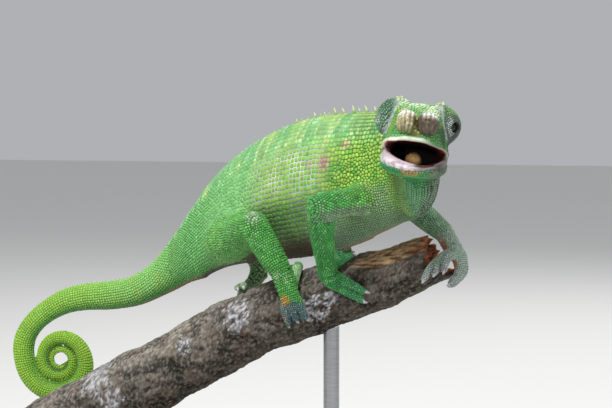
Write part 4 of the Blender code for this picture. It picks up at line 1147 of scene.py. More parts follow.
def limb_tones(points, limb, along, outward):
    """Colours of a limb's scales and gaps; along runs from 0 at the shoulder or hip to 3 at the toes,
    and outward is the direction from the middle of the limb or toe."""
    speckle = rough_at(points, 2.2, 31, 2)
    if limb == "arm_right":
        under = rising(outward @ np.array((0.25, 0.0, -0.97)), 0.25, 0.75) * falling(along, 0.85, 1.0)
        tones = layered(
            mixed("4f9e48", "3f9845", rising(along, 0.6, 1.4)),
            ("7fae3c", 0.8 * falling(along, 0.1, 0.75)),
            ("8a9c84", 0.85 * under),
            ("56b153", 0.5 * rising(speckle, 0.0, 0.5)),
            ("3d9455", rising(along, 2.2, 3.0)),
        )
    elif limb == "leg_right":
        knee = spot(points, (10.0, -13.5, 105.5), 4.0) * rising(speckle, -0.5, 0.1)
        wrinkle = rising(along, 1.5, 1.9) * spot(points, (19.5, -14.0, 87.0), 5.0)
        foot = falling(points[:, 2], 78.4, 80.6)
        tones = layered(
            mixed("63ab50", "479a3c", rising(along, 0.3, 1.3)),
            ("7cbb58", 0.5 * falling(along, 0.0, 0.6)),
            ("b2bfa6", 0.6 * knee),
            ("a3b090", 0.4 * wrinkle * rising(speckle, 0.0, 0.3)),
            ("56767a", foot),
            ("7b6a60", 0.7 * rising(speckle, 0.0, 0.4) * foot),
            ("a3cc98", spot(points, (23.3, -8.0, 88.8), 5.5) * (along > 2.3)),
            ("cf9d38", 0.95 * spot(points, (20.4, -15.6, 79.6), 2.8)),
        )
    elif limb == "arm_left":
        palm_side = rising(outward @ np.array((-0.85, -0.25, -0.45)), 0.1, 0.6) * rising(along, 2.05, 2.3)
        tones = layered(
            mixed("6aa76c", "7fa681", rising(along, 0.8, 1.8)),
            ("a6bda8", rising(along, 1.7, 2.3)),
            ("a5a3ae", 0.6 * rising(along, 2.6, 2.95)),
            ("93939b", 0.5 * rising(speckle, -0.1, 0.3) * rising(along, 1.9, 2.3)),
            ("a8502f", 0.85 * palm_side),
        )
    else:
        tones = mixed("4f9a44", "7fa96c", rising(along, 1.0, 2.0))
        tones = mixed(tones, "9db58a", rising(along, 2.0, 2.8))
    tones = mixed(tones, 1.3 * tones, rising(speckle, -0.1, 0.5))
    # The toes are painted darker in the grooves between them: painted shade
    tones = shaded(tones, 1 - 0.6 * between_toes(points, limb))
    # The gaps are the scales' colour darkened, as painted shade
    depth = 0.22 + 0.3 * (limb == "arm_left") * rising(along, 1.0, 2.0)
    gaps = mixed(shaded(tones, depth), "1c4a3c", 0.2)
    return tones, gaps


def head_tones(points):
    """Colours of the head's scales and gaps, by place in the head's own frame."""
    local = in_head(points)
    x, y, z = local.T
    speckle = rough_at(points, 1.8, 41, 2)
    crown_tones = mixed("98c488", "cfdcae", rising(speckle, -0.1, 0.4))
    jaw_tones = mixed("3f9a5e", "4c9f55", rising(speckle, -0.2, 0.3))
    tones = layered(
        mixed("4fa04c", "8fb535", rising(speckle, -0.1, 0.4) * rising(z, -6.0, -2.0)),
        (mixed(crown_tones, "cdbb7a", 0.6 * rising(speckle, 0.3, 0.6) * (y < 0)), rising(z, 1.0, 3.5)),
        # Two pale patches on the brow are painted highlights
        ("e2ecd6", 0.8 * spot(local, (11.0, 3.6, 1.4), 3.4) * rising(speckle, -0.5, 0.1)),
        ("d9d6c4", 0.7 * spot(local, (12.0, -4.2, 0.6), 2.6)),
        ("c9cc6c", 0.95 * spot(local, (17.0, 0.0, -3.6), 3.8)),
        ("6bb268", 0.8 * rising(x, 8.0, 13.0) * falling(z, -6.6, -5.4)),
        ("7cb03a", 0.8 * spot(local, (9.0, -7.0, -3.4), 4.5)),
        ("d3d6cb", 0.7 * spot(local, (14.5, -6.3, -3.0), 1.9)),
        ("2c5a24", 0.9 * spot(local, (10.5, 6.9, -5.0), 4.6)),
        (mixed(jaw_tones, "65775d", 0.8 * rising(y, 2.0, 6.5)), falling(z, -10.0, -8.8)),
        ("b89a56", 0.9 * spot(local, (15.6, -0.6, -15.8), 3.6)),
        ("a3a38c", 0.6 * spot(local, (12.0, 6.0, -14.8), 2.4)),
        ("8fbf22", rising(-x, 8.0, 13.0) * rising(z, -14.0, -9.0) * 0.7),
    )
    # The head's left side below the crown is painted darker: painted shade
    tones = shaded(tones, 1 - 0.22 * rising(y, 3.0, 7.0) * falling(z, -1.0, 1.5))
    # The gaps are the scales' colour darkened, as painted shade
    return tones, 0.4 * tones


def turret_tones(points, side_name):
    """Colours of the scales and gaps on an eye's fused lids."""
    speckle = rough_at(points, 1.5, 51, 2)
    tones = mixed("7ba583", "b0c6b6", rising(speckle, -0.2, 0.4))
    wave, off_axis = lid_wave(points, side_name)
    ridge = 0.5 + 0.5 * wave
    if side_name == "left":
        outwards = 6.0 * eye_looks["left"] - points + eye_middles["left"]
        face_side = rising(outwards @ np.array((0.94, 0.34, 0.0)), 0.2, 1.4)
        pale = mixed("c3cfca", "6f7d76", rising(speckle, -0.3, 0.3))
        tones = layered(
            tones,
            ("6c9c58", rising(points[:, 2], 132.0, 136.0)),
            ("454d47", falling(points[:, 2], 125.5, 130.5)),
            ("323d37", 0.9 * falling(off_axis, 26.0, 50.0)),
            (pale, (0.05 + 0.75 * face_side) * falling(off_axis, 24.0, 40.0)),
        )
        # The lid folds are painted lighter on their ridges and darker in their grooves: painted light and
        # shade
        tones = shaded(tones, 0.85 + 0.25 * ridge)
    else:
        tones = mixed(tones, "63926c", rising(points[:, 2], 134.0, 137.0))
        tones = mixed(tones, "7d7b80", 0.8 * falling(points[:, 2], 129.0, 132.5))
        # The lid folds are painted darker in their grooves: painted shade
        tones = mixed("4f6557", tones, 0.6 + 0.4 * rising(ridge, 0.1, 0.6))
    # The gaps are the scales' colour darkened, as painted shade
    return tones, 0.3 * tones


# Coat of scales
# Each scale is a low dome on its own patch of skin. Seeds are set out in rows on the trunk, tail and
# limbs, in rings on the lids and at random, evenly, on the head, then each fills the room round it.
SCALE_GAP = 0.11
BIG_SCALE = 0.95
VECTOR_KEYS = ("place", "normal", "along", "tone", "gap", "root")
seeds = {key: [] for key in (*VECTOR_KEYS, "size", "rise", "cap", "room", "piece")}
seed_cells = {}
CELL = 1.0


def plant(
    piece, points, along, size, rise, tones, gaps, roots, reach=1.0, crowd=0.62, cap=0.72, room=SCALE_GAP
):
    """Sets seeds on the skin nearest to the points, and leaves out those too far off or too crowded.
    Cap is the furthest a scale reaches, in its sizes, and room the width of the gap round it."""
    along = np.broadcast_to(along, points.shape)
    size, rise, caps, rooms = (np.broadcast_to(value, len(points)) for value in (size, rise, cap, room))
    for index, point in enumerate(points):
        place, normal, _, _ = skin_tree.find_nearest(point, reach)
        if place is None:
            continue
        clear = crowd * size[index]
        cell = tuple(int(c // CELL) for c in place)
        beside = (tuple(c + step for c, step in zip(cell, steps)) for steps in product((-1, 0, 1), repeat=3))
        rivals = (rival for near_cell in beside for rival in seed_cells.get(near_cell, ()))
        if any((other - place).length < (clear + other_clear) / 2 for other, other_clear in rivals):
            continue
        seed_cells.setdefault(cell, []).append((place, clear))
        row = (
            place, normal, along[index], tones[index], gaps[index], roots[index], size[index], rise[index],
            caps[index] * size[index], rooms[index], piece,
        )
        for values, value in zip(seeds.values(), row):
            values.append(value)


def grid_seeds(grid, pitch_along, pitch_around, stagger=0.5, jitter=0.1):
    """Rows of points on rings of points: places, directions along, and shares along and around."""
    middles = grid.mean(axis=1)
    distances = travelled(middles)
    places, alongs, shares = [], [], []
    count = max(2, round(distances[-1] / pitch_along))
    for row in range(count):
        at = np.interp((row + 0.5) / count * distances[-1], distances, np.arange(len(grid)))
        low = min(int(at), len(grid) - 2)
        ring = grid[low] * (1 - at + low) + grid[low + 1] * (at - low)
        closed = np.vstack([ring, ring[:1]])
        arc = travelled(closed)
        around = max(3, round(arc[-1] / pitch_around))
        turns = np.arange(around) + stagger * (row % 2) + rng.uniform(-jitter, jitter, around)
        turns = turns / around % 1.0
        points = between_rows(turns * arc[-1], arc, closed)
        direction = middles[low + 1] - middles[low]
        shift = rng.uniform(-jitter, jitter, around)[:, None] * pitch_along
        direction = direction / (np.linalg.norm(direction) + 1e-9)
        places.append(points + direction * shift)
        alongs.append(np.tile(direction, (around, 1)))
        shares.append(np.stack([np.full(around, (row + 0.5) / count), turns], 1))
    return np.vstack(places), np.vstack(alongs), np.vstack(shares)


def side_rows(start, end, top, bottom, pitch_along, pitch_down, jitter=0.09):
    """Seeds in long rows down both sides of the body between two distances back and two shares of the
    way down from ridge to keel. The pitches are functions of the distance back."""
    back = start
    found = []
    while back < end:
        for side in (1, -1):
            turns = np.linspace(0, math.pi, 120) * side
            ring = body_rings(np.array([back]), turns)[0]
            ahead_ring = body_rings(np.array([back + 1.0]), turns)[0]
            arc = travelled(ring)
            downs = np.arange(0.45, arc[-1] / pitch_down(back)) * pitch_down(back)
            downs = downs + rng.uniform(-jitter, jitter, len(downs)) * pitch_down(back)
            shares = downs / arc[-1]
            keep = (shares >= top) & (shares < bottom)
            for down, share in zip(downs[keep], shares[keep]):
                point = between_rows(down, arc, ring)
                direction = unit(between_rows(down, arc, ahead_ring) - point)
                point = point + direction * rng.uniform(-jitter, jitter) * pitch_along(back)
                found.append((*point, *direction, back, share, side))
        back += pitch_along(back)
    return np.array(found)


FLANK_ROWS = 32


def lattice(start, end, top, bottom, pitch_share, jitter):
    """Seeds in rows along both sides: each row keeps its share of the way from ridge to keel, so its
    scales are largest where the body is deepest. The pitch along is a share of the pitch down."""
    back = start
    found = []
    row_shares = (np.arange(FLANK_ROWS) + 0.5) / FLANK_ROWS
    row_shares = row_shares[(row_shares >= top) & (row_shares < bottom)]
    while back < end:
        turns = np.linspace(0, math.pi, 90)
        for side in (1, -1):
            ring, ahead_ring = body_rings(np.array([back, back + 1.0]), turns * side)
            arc = travelled(ring)
            pitch = arc[-1] / FLANK_ROWS
            sway = jitter * (1 + 0.4 * (back < 36)) * pitch
            downs = row_shares * arc[-1] + rng.uniform(-sway, sway, len(row_shares))
            points = between_rows(downs, arc, ring)
            directions = unit_rows(between_rows(downs, arc, ahead_ring) - points)
            points = points + directions * rng.uniform(-sway, sway, len(points))[:, None]
            backs, sides, pitches = (np.full((len(points), 1), value) for value in (back, side, pitch))
            found.append(np.hstack([points, directions, backs, downs[:, None] / arc[-1], sides, pitches]))
        back += pitch * pitch_share
    return np.vstack(found)


def tail_pitch(back):
    return float(np.interp(back, (112, 140, 200, 280), (1.0, 0.92, 0.82, 0.72)))


def fine_pitch(back):
    return float(np.interp(back, (10, 40, 100), (0.72, 0.85, 0.9)))


# Lids: rings of fine scales round each opening, largest next to it
for side_name in ("left", "right"):
    middle, look = eye_middles[side_name], eye_looks[side_name]
    level, upward = across_look(side_name)
    off_axis, row, points, alongs, sizes = math.radians(17.0), 0, [], [], []
    while off_axis < math.radians(112.0):
        size = 0.56 if row < 2 else 0.62
        count = round(2 * math.pi * 6.0 * math.sin(off_axis) / size)
        for number in range(count):
            spoke = (number + 0.5 * (row % 2)) / count * 2 * math.pi
            outward_here = level * math.cos(spoke) + upward * math.sin(spoke)
            points.append(middle + 6.1 * (look * math.cos(off_axis) + outward_here * math.sin(off_axis)))
            alongs.append(outward_here)
            sizes.append(size)
        off_axis += size / 6.0
        row += 1
    points = np.array(points)
    keep = in_forms(origins(points), "turret")
    points, alongs, sizes = points[keep], np.array(alongs)[keep], np.array(sizes)[keep]
    tones, gaps = turret_tones(points, side_name)
    local = in_head(points)
    roots = np.stack([0.25 + 0.5 * (side_name == "left") + 0.02 * local[:, 0], 0.5 + 0.04 * local[:, 2]], 1)
    plant("coat_lids", points, alongs, sizes, 0.17, tones, gaps, roots, reach=1.3)


def head_roots(local):
    """Places of the head's scales on their map, by place in the head's frame."""
    return np.stack([0.5 + 0.018 * local[:, 0], 0.5 + 0.018 * local[:, 1]], 1)


# Crown ridges: rows of larger plates. Lips, gums and socket rims stay smooth skin
for name in ("crown_1", "crown_-1"):
    points, alongs, _ = grid_seeds(forms[name], 1.2, 1.0, 0.0, 0.06)
    tones = shaded(np.tile(tone("a9b88c"), (len(points), 1)), 1 + 0.12 * rough_at(points, 1.6, 61, 2))
    # The gaps round the plates are their colour darkened, as painted shade
    plant("coat_head", points, alongs, 1.0, 0.28, tones, 0.6 * tones, head_roots(in_head(points)),
          reach=0.75, crowd=0.7, cap=0.9)

# Throat: columns of fine scales along the pleats
points = []
for column in np.arange(-11, 12):
    turn_here = math.radians(THROAT_MIDDLE) + column * PLEAT_PITCH / THROAT_RADIUS
    for half in (-0.22, 0.22):
        shifted = turn_here + half * PLEAT_PITCH / THROAT_RADIUS
        direction = np.array((math.cos(shifted), math.sin(shifted), 0.0))
        for height in np.arange(103.8, 124.0, 0.6):
            start = np.array((*THROAT_AXIS, height + (0.3 if half > 0 else 0.0)))
            place, normal, _, _ = skin_tree.ray_cast(Vector(start), Vector(direction), 14.0)
            if place is None or normal.dot(Vector(direction)) < 0:
                outside = Vector(start + direction * 13.0)
                place, normal, _, _ = skin_tree.ray_cast(outside, Vector(-direction), 13.0)
            if place is not None:
                points.append(place)
points = np.array(points)
rows = origins(points)
points = points[throat_mask(points, rows) > 0.1]
tones, gaps = throat_tones(points)
roots = np.stack([0.5 + throat_turns(points)[0] / 400.0, (points[:, 2] - 90.0) / 50.0], 1)
plant("coat_neck", points, (0.0, 0.0, 1.0), 0.62, 0.13, tones, gaps, roots, crowd=0.82)

# Trunk, neck and tail: squarish plates in long rows on the flank, narrow upright ones on the back, and
# fine grains on the chest and belly
flank_found = lattice(12.0, TRUNK_END + 4, 0.19, 0.86, 0.96, 0.15)
back_found = lattice(14.0, TRUNK_END + 4, 0.0, 0.2, 0.5, 0.05)
chest_found = np.vstack([side_rows(2.0, 10.0, 0.1, 1.0, fine_pitch, fine_pitch, 0.22),
                         side_rows(10.0, 48.0, 0.56, 1.0, fine_pitch, fine_pitch, 0.22)])
belly_found = side_rows(46.0, TRUNK_END + 4, 0.84, 1.0, fine_pitch, fine_pitch, 0.22)
tail_found = side_rows(TRUNK_END + 3, BODY_LENGTH, 0.0, 1.0, tail_pitch, tail_pitch, 0.14)
keep = (flank_found[:, 7] < 0.58) | (flank_found[:, 6] > 44)
for name, found, rise, cap in (
    ("flank", flank_found[keep], 0.17, 0.66), ("back", back_found, 0.15, 1.05),
    ("chest", chest_found, 0.15, 0.72), ("belly", belly_found, 0.15, 0.72), ("tail", tail_found, 0.19, 0.72),
):
    points, alongs, back, down, side = found[:, :3], found[:, 3:6], found[:, 6], found[:, 7], found[:, 8]
    tones, gaps = body_tones(points, back, down)
    tones = shaded(tones, 1 + rng.normal(0, 0.07, len(points)))
    if name == "flank":
        sizes = found[:, 9]
        room = 0.11 + 0.07 * rising(back, 34, 46) * falling(back, 66, 80)
        tones = shaded(tones, 1 + rng.normal(0, 0.1, len(points)))
    else:
        sizes = 0.5 * found[:, 9] if name == "back" else np.array(
            [tail_pitch(at) if name == "tail" else fine_pitch(at) for at in back])
        room = SCALE_GAP
    room = np.broadcast_to(room, len(points))
    roots = np.stack([back / BODY_LENGTH, 0.5 + 0.5 * side * down], 1)
    piece = np.where(back < NECK_END, "coat_neck", np.where(back > TRUNK_END, "coat_tail", np.where(
        side > 0, "coat_trunk_left", "coat_trunk_right")))
    for piece_name in np.unique(piece):
        own = piece == piece_name
        plant(str(piece_name), points[own], alongs[own], sizes[own], rise, tones[own], gaps[own], roots[own],
              cap=cap, room=room[own], reach=1.7)

# Limbs: close quincunx rows round each bone, palm and toe
for form_index, (name, grid) in enumerate(forms.items()):
    limb = next((limb for limb, *_ in LIMBS if name.startswith(limb)), None)
    if limb is None:
        continue
    part = name[len(limb) + 1:]
    offset = {"upper": 0.0, "lower": 1.0, "palm": 2.0}.get(part, 2.4)
    length = {"palm": 0.4}.get(part, 1.0 if part in ("upper", "lower") else 0.6)
    pitch = {"upper": 0.88, "lower": 0.82, "palm": 0.72}.get(part, 0.64)
    points, alongs, shares = grid_seeds(grid, pitch * 0.92, pitch)
    middles = grid.mean(axis=1)
    rows = shares[:, 0] * (len(grid) - 1)
    outward = unit_rows(points - between_rows(rows, np.arange(len(grid)), middles))
    tones, gaps = limb_tones(points, limb, offset + length * shares[:, 0], outward)
    tones = shaded(tones, 1 + rng.normal(0, 0.16, len(points)))
    tones = mixed(tones, "a9cda0", 0.3 * (rng.uniform(size=len(points)) > 0.86))
    roots = np.stack([(form_index % 9 + 0.08 + 0.84 * shares[:, 0]) / 9, 0.04 + 0.92 * shares[:, 1]], 1)
    plant(f"coat_{limb}", points, alongs, pitch, 0.3 * pitch, tones, gaps, roots,
          reach={"upper": 1.2, "lower": 1.05}.get(part, 0.8))

corners = skin_places[skin_faces]
face_middles = corners.mean(axis=1)
face_rows = origins(face_middles)


def scattered(chances, count):
    """Random points on the skin's faces, more where a face's chance for its area is higher."""
    areas = np.linalg.norm(np.cross(corners[:, 2] - corners[:, 0], corners[:, 3] - corners[:, 1]), axis=1) / 2
    areas = areas * chances
    picks = rng.choice(len(areas), count, p=areas / areas.sum())
    shares = rng.uniform(0, 1, (count, 2, 1))
    return (
        (corners[picks, 0] * (1 - shares[:, 0]) + corners[picks, 1] * shares[:, 0]) * (1 - shares[:, 1])
        + (corners[picks, 3] * (1 - shares[:, 0]) + corners[picks, 2] * shares[:, 0]) * shares[:, 1]
    )


# Shoulders and hips: where the rows of body and limb meet, the bare skin left is filled at random with
# scales like those beside them
for limb, joints, radii, _, _ in LIMBS:
    reach = 2 * radii[0][0] + SHOULDER_REACH + 2.0
    close_by = np.linalg.norm(face_middles - np.array(joints[0]), axis=1) < reach
    points = scattered(close_by & in_forms(face_rows, "body", limb), 9000)
    off_joint = np.linalg.norm(np.array(seeds["place"]) - np.array(joints[0]), axis=1)
    planted = np.flatnonzero(off_joint < reach + 2.0)
    finder = tree_of([seeds["place"][index] for index in planted])
    beside = [planted[finder.find(point)[1]] for point in points]
    alongs, tones, gaps, roots = (
        np.array([tuple(seeds[key][index]) for index in beside]) for key in ("along", "tone", "gap", "root")
    )
    plant(f"coat_{limb}", points, alongs, 0.85, 0.2, tones, gaps, roots + 0.01, reach=0.5, crowd=0.85)

# Head: uneven scales at random, coarser on the crown
local = in_head(face_middles)
face_normals = np.cross(corners[:, 2] - corners[:, 0], corners[:, 3] - corners[:, 1])
face_normals /= np.linalg.norm(face_normals, axis=1)[:, None] + 1e-12
on_head = in_forms(face_rows, "cranium", "mandible") & ~mouth_wall(face_middles, face_normals, face_rows)
points = scattered(on_head, 52000)
local = in_head(points)
sizes = 0.74 + 0.4 * rising(local[:, 2], 1.5, 4.0) - 0.12 * falling(local[:, 2], -12.0, -9.0)
tones, gaps = head_tones(points)
tones = shaded(tones, 1 + rng.normal(0, 0.09, len(points)))
roots = head_roots(local)
keep = (off_tubes(points, "lip", "gum", "corner") > 0.28) & (off_tubes(points, "rim") > 0.2)
points, sizes, tones, gaps, roots = points[keep], sizes[keep], tones[keep], gaps[keep], roots[keep]
head_along = world_direction((1.0, 0.0, 0.0))
plant("coat_head", points, head_along, sizes, 0.24 * sizes, tones, gaps, roots, reach=0.6, crowd=0.86)

# Seeds that fell inside the mouth are taken out
planted = np.array(seeds["place"]), np.array(seeds["normal"]), origins(seeds["place"])
in_mouth = mouth_wall(*planted) | between_jaws(*planted)
for key, values in seeds.items():
    seeds[key] = [value for value, inside in zip(values, in_mouth) if not inside]

# Scale shapes
# A seed's scale reaches half way to each neighbour, less the gap, in a ring of directions about it:
# a skirt in the skin, a shoulder and a rounded top. Many thousands are joined into one mesh a region.
SKIRT = -0.14
DOME_SHARES = (1.0, 0.92, 0.55)
NEAR_COUNT = 13
PATCH = 0.0015


def domes(places, normals, alongs, caps, rises, rooms, sides=8, stretch=2.3):
    """Rings of points, one dome for each place: [place, ring, side, xyz], and each dome's top point."""
    normals = unit_rows(normals)
    alongs = alongs - normals * (alongs * normals).sum(1)[:, None]
    alongs = alongs / (np.linalg.norm(alongs, axis=1)[:, None] + 1e-9)
    acrosses = np.cross(normals, alongs)
    finder = tree_of(places)
    nearest = np.array([[found[1] for found in finder.find_n(place, NEAR_COUNT)] for place in places])[:, 1:]
    offsets = places[nearest] - places[:, None]
    facing = (normals[nearest] * normals[:, None]).sum(2) > 0.2
    length = np.linalg.norm(offsets, axis=2)
    flat = np.stack([(offsets * alongs[:, None]).sum(2), (offsets * acrosses[:, None]).sum(2)], 2)
    turns = round_turns(sides)
    reach = np.tile(caps[:, None], (1, sides))
    for side, turn in enumerate(turns):
        towards = flat @ np.array((math.cos(turn), math.sin(turn)))
        usable = facing & (towards > 0.12 * length)
        limit = np.where(usable, 0.5 * length**2 / np.where(usable, towards, 1.0), np.inf)
        reach[:, side] = np.minimum(reach[:, side], limit.min(axis=1))
    reach = np.minimum(reach, stretch * reach.min(axis=1)[:, None])
    reach = np.maximum(reach - rooms[:, None] / 2, 0.3 * reach)
    directions = (
        alongs[:, None] * np.cos(turns)[None, :, None] + acrosses[:, None] * np.sin(turns)[None, :, None]
    )
    heights = rises[:, None, None] * normals[:, None]
    rings = []
    for share, lift in zip(DOME_SHARES, (None, 0.66, 0.97)):
        level = normals[:, None] * SKIRT if lift is None else heights * lift
        rings.append(places[:, None] + directions * (reach * share)[..., None] + level)
    return np.stack(rings, 1), places + heights[:, 0] * 1.06


def dome_mesh(name, rings, tops, tones, gaps, roots, material):
    """One mesh of all the domes, with their colours, painted shade at the skirt and a painted highlight on
    the top, and a small patch of the map for each.
    """
    count, levels, sides = rings.shape[:3]
    verts = np.concatenate([rings.reshape(count, -1, 3), tops[:, None]], axis=1)
    per = levels * sides + 1
    faces = []
    for level in range(levels - 1):
        for side in range(sides):
            a, b = level * sides + side, level * sides + (side + 1) % sides
            faces += [(a, b, b + sides), (a, b + sides, a + sides)]
    last = (levels - 1) * sides
    faces += [(last + side, last + (side + 1) % sides, per - 1) for side in range(sides)]
    faces = (np.array(faces)[None] + np.arange(count)[:, None, None] * per).reshape(-1, 3)
    mesh = bpy.data.meshes.new(name)
    mesh.vertices.add(count * per)
    mesh.vertices.foreach_set("co", (verts.reshape(-1) * MM).astype(np.float32))
    mesh.loops.add(len(faces) * 3)
    mesh.loops.foreach_set("vertex_index", faces.ravel().astype(np.int32))
    mesh.polygons.add(len(faces))
    mesh.polygons.foreach_set("loop_start", (np.arange(len(faces)) * 3).astype(np.int32))
    mesh.update(calc_edges=True)
    # Each dome is painted darker at its skirt, with its gap colour mixed in, and lighter at its top: painted
    # shade and a painted highlight
    shares = np.append(np.repeat([0.55, 0.88, 1.06][:levels], sides), 1.12)
    edge = np.append(np.repeat([0.6, 0.08, 0.0][:levels], sides), 0.0)
    mixed_tones = tones[:, None] * (1 - edge[None, :, None]) + gaps[:, None] * edge[None, :, None]
    paint(mesh, "marking_and_shade", (mixed_tones * shares[None, :, None]).reshape(-1, 3))
    turns = round_turns(sides)
    spread = [(math.cos(t) * share, math.sin(t) * share) for share in DOME_SHARES[:levels] for t in turns]
    spread = np.array(spread + [(0.0, 0.0)]) * PATCH
    flat = (roots[:, None] + spread[None]).reshape(-1, 2)
    layer = mesh.uv_layers.new(name="OFBake")
    layer.data.foreach_set("uv", flat[faces.ravel()].ravel().astype(np.float32))
    return shown_mesh(mesh, material)


# Keratin scales: thin, horny and slightly waxy, so each catches a small soft highlight
scale_material, tree = new_material("keratin_scales")
looks, mottle = speckled(tree, "marking_and_shade", 0.7, 3.0, 0.18, (0.15, 0.1))
rough = ranged(tree, mottle, To_Min=0.38, To_Max=0.56)
surface(tree, {**looks, "Roughness": rough, "Specular IOR Level": 0.45})

# Skin between the scales: soft, thin and matt, and wet inside the mouth; its colour holds painted shade
# between the scales and painted shadow deep in the mouth
skin_material, tree = new_material("living_skin")
wetness = node(tree, "Attribute", attribute_name="wetness").outputs["Fac"]
looks, _ = speckled(tree, "marking_and_shade", 0.5, 3.0, 0.2, (0.25, 0.1))
surface(tree, {**looks, "Roughness": ranged(tree, wetness, To_Min=0.62, To_Max=0.28)})

seed_arrays = {
    key: np.array([tuple(value) for value in values] if key in VECTOR_KEYS else values)
    for key, values in seeds.items()
}
coat_rings, coat_tops = domes(
    *(seed_arrays[key] for key in ("place", "normal", "along", "cap", "rise", "room"))
)
for piece_name in sorted(set(seeds["piece"])):
    for big in (True, False):
        own = (seed_arrays["piece"] == piece_name) & ((seed_arrays["size"] >= BIG_SCALE) == big)
        if not own.any():
            continue
        rings = coat_rings[own] if big else coat_rings[own][:, [0, 1]]
        name = piece_name + ("_large" if big else "")
        painted = (seed_arrays[key][own] for key in ("tone", "gap", "root"))
        coat = dome_mesh(name, rings, coat_tops[own], *painted, scale_material)
        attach(coat, "root")


def lip_tones(points, tones):
    """The upper lip turns from a pale edge to the green of the face over its upper half."""
    local = in_head(points)
    x, y, z = local.T
    edge = lip_edge(CRANIUM[:9], x, 6)[1] - lip_droop(y)
    green = mixed("6fae5e", "c08a68", 0.85 * spot(local, (9.0, 8.0, -7.0), 3.6))
    green = mixed(green, "d8b89c", 0.8 * spot(local, (6.0, -8.6, -7.2), 4.5))
    return layered(
        tones,
        ("c4d2b8", 0.8 * rising(y, -7.0, -1.5)),
        # Towards the head's left side the lip turns grey and darker, partly as painted shade
        ("7d7c70", 0.9 * rising(y, 0.5, 5.0)),
        ("b9784f", 0.8 * spot(local, (9.5, 7.8, -8.4), 2.8)),
        (green, rising(z - edge, 0.9, 1.4)),
    )


# The bare skin takes the gap colours of the nearest scales, painted shade and all
seed_tree = tree_of(seeds["place"])
skin_tones = np.empty_like(skin_places)
for index, place in enumerate(skin_places):
    _, rows, distances = zip(*seed_tree.find_n(place, 4))
    weights = 1 / (0.05 + np.array(distances))
    skin_tones[index] = (seed_arrays["gap"][list(rows)] * weights[:, None]).sum(0) / weights.sum()
local = in_head(skin_places)
x, y, _ = local.T
inward = -(skin_normals @ np.array(head_matrix.to_3x3())) * local
mottling = rough_at(skin_places, 1.3, 91, 2)
mouth = mouth_wall(skin_places, skin_normals, skin_origins) * 1.0
gum, hinge, rims, upper_lip = (
    falling(off_tubes(skin_places, *names), low, high) for names, low, high in (
        (("gum", "corner"), -0.1, 0.3), (("corner",), -0.1, 0.3), (("rim",), 0.0, 0.35),
        (("lip_upper",), 0.0, 0.4),
    )
)
lower_lip = falling(off_tubes(skin_places, "lip_lower"), 0.0, 0.3 - 0.2 * rising(y, -2.0, 3.0))
lips = np.maximum(upper_lip, lower_lip)
# The mouth's dark red flesh is painted near black towards the back, as painted shadow
flesh_and_shadow = layered(
    mixed("0b0505", "6a2422", rising(x, -2.0, 9.0)),
    ("a84646", 0.9 * rising(np.abs(y), 5.5, 7.5) * rising(x, -6.0, -2.0)),
    ("b5716e", 0.8 * in_forms(skin_origins, "mandible") * rising(x, 6.0, 11.0)),
)
# The gums are pink flesh, painted pale where they face up and dark red where they face down, and dark on the
# head's left side: painted light and shade
gum_tones = layered(
    mixed("8a3d3c", "c9b3bb", rising(skin_normals @ world_direction((0.3, 0, 1)), 0.0, 0.7)),
    ("4d211d", 0.95 * rising(y, -0.5, 1.5)),
    (mixed("c3aaa4", "50574a", rising(y, -2.0, 2.0)), hinge),
)
# The lower lip turns grey and then near black towards the head's left side: painted shade
lower_tones = layered(
    mixed("ad98a1", "dad5d8", rising(mottling, -0.35, 0.15)),
    ("756e76", 0.9 * rising(y, -1.0, 3.5)),
    ("2f322b", 0.9 * rising(y, 5.0, 7.5)),
)
skin_tones = layered(
    skin_tones,
    (flesh_and_shadow, mouth),
    (gum_tones, gum),
    (lip_tones(skin_places, mixed("dccbbb", "f8efe0", rising(mottling, -0.4, 0.2))), upper_lip),
    (lower_tones, lower_lip),
    (flesh_and_shadow, 0.9 * mouth * lips * rising(inward[:, 0] + inward[:, 1], 0.5, 4.0)),
    (mixed("7d877f", "a9b3aa", rising(mottling, -0.4, 0.3)), rims),
)
# The hollow of each lid's opening is painted near black: painted shade
for side_name in ("left", "right"):
    front = eye_middles[side_name] + eye_looks[side_name] * (TURRET_RADIUS + LID_RISE)
    skin_tones = mixed(skin_tones, "15120f", spot(skin_places, front - 0.6 * eye_looks[side_name], 1.9))
skin = shown("skin", bm, skin_material)
paint(skin.data, "marking_and_shade", skin_tones)
wet = skin.data.attributes.new("wetness", "FLOAT", "POINT")
wet_places = mouth * rising(x, -2.0, 5.0) + gum + 0.5 * lips
wet.data.foreach_set("value", np.clip(wet_places, 0, 1).astype(np.float32))
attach(skin, "root")
limb_parts = ("upper_arm", "forearm", "hand", "thigh", "shank", "foot")
limb_nodes = [f"{part}_{side}" for part in limb_parts for side in ("left", "right")]
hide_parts("head", "jaw", "neck", "torso", "eye_turret_left", "eye_turret_right", *limb_nodes,
            *(f"tail_{number}" for number in range(1, 8)))

# Crest
# A row of soft cone scales along the ridge: slender spines on the nape and shoulders, lower and lower
# to blunt knobs down the back and tail.
SPINES = (
    (15.0, 1.5, 0.5), (17.6, 2.0, 0.55), (20.4, 1.6, 0.5), (23.2, 2.0, 0.6), (26.5, 1.8, 0.55),
    (29.5, 2.3, 0.6), (32.3, 1.7, 0.5), (34.7, 2.3, 0.6), (38.5, 1.9, 0.6), (41.9, 2.1, 0.65),
    (44.4, 0.9, 0.45), (46.2, 1.2, 0.5), (48.0, 0.9, 0.45), (50.2, 1.7, 0.6), (53.0, 0.8, 0.5),
    (55.8, 0.9, 0.5), (57.8, 1.3, 0.6),
)
SPINE_LEAN = 0.45
KNOB_START, KNOB_SPACING, KNOB_HEIGHT, KNOB_RADIUS, KNOB_END = 60.0, 1.75, 0.62, 0.55, 215.0


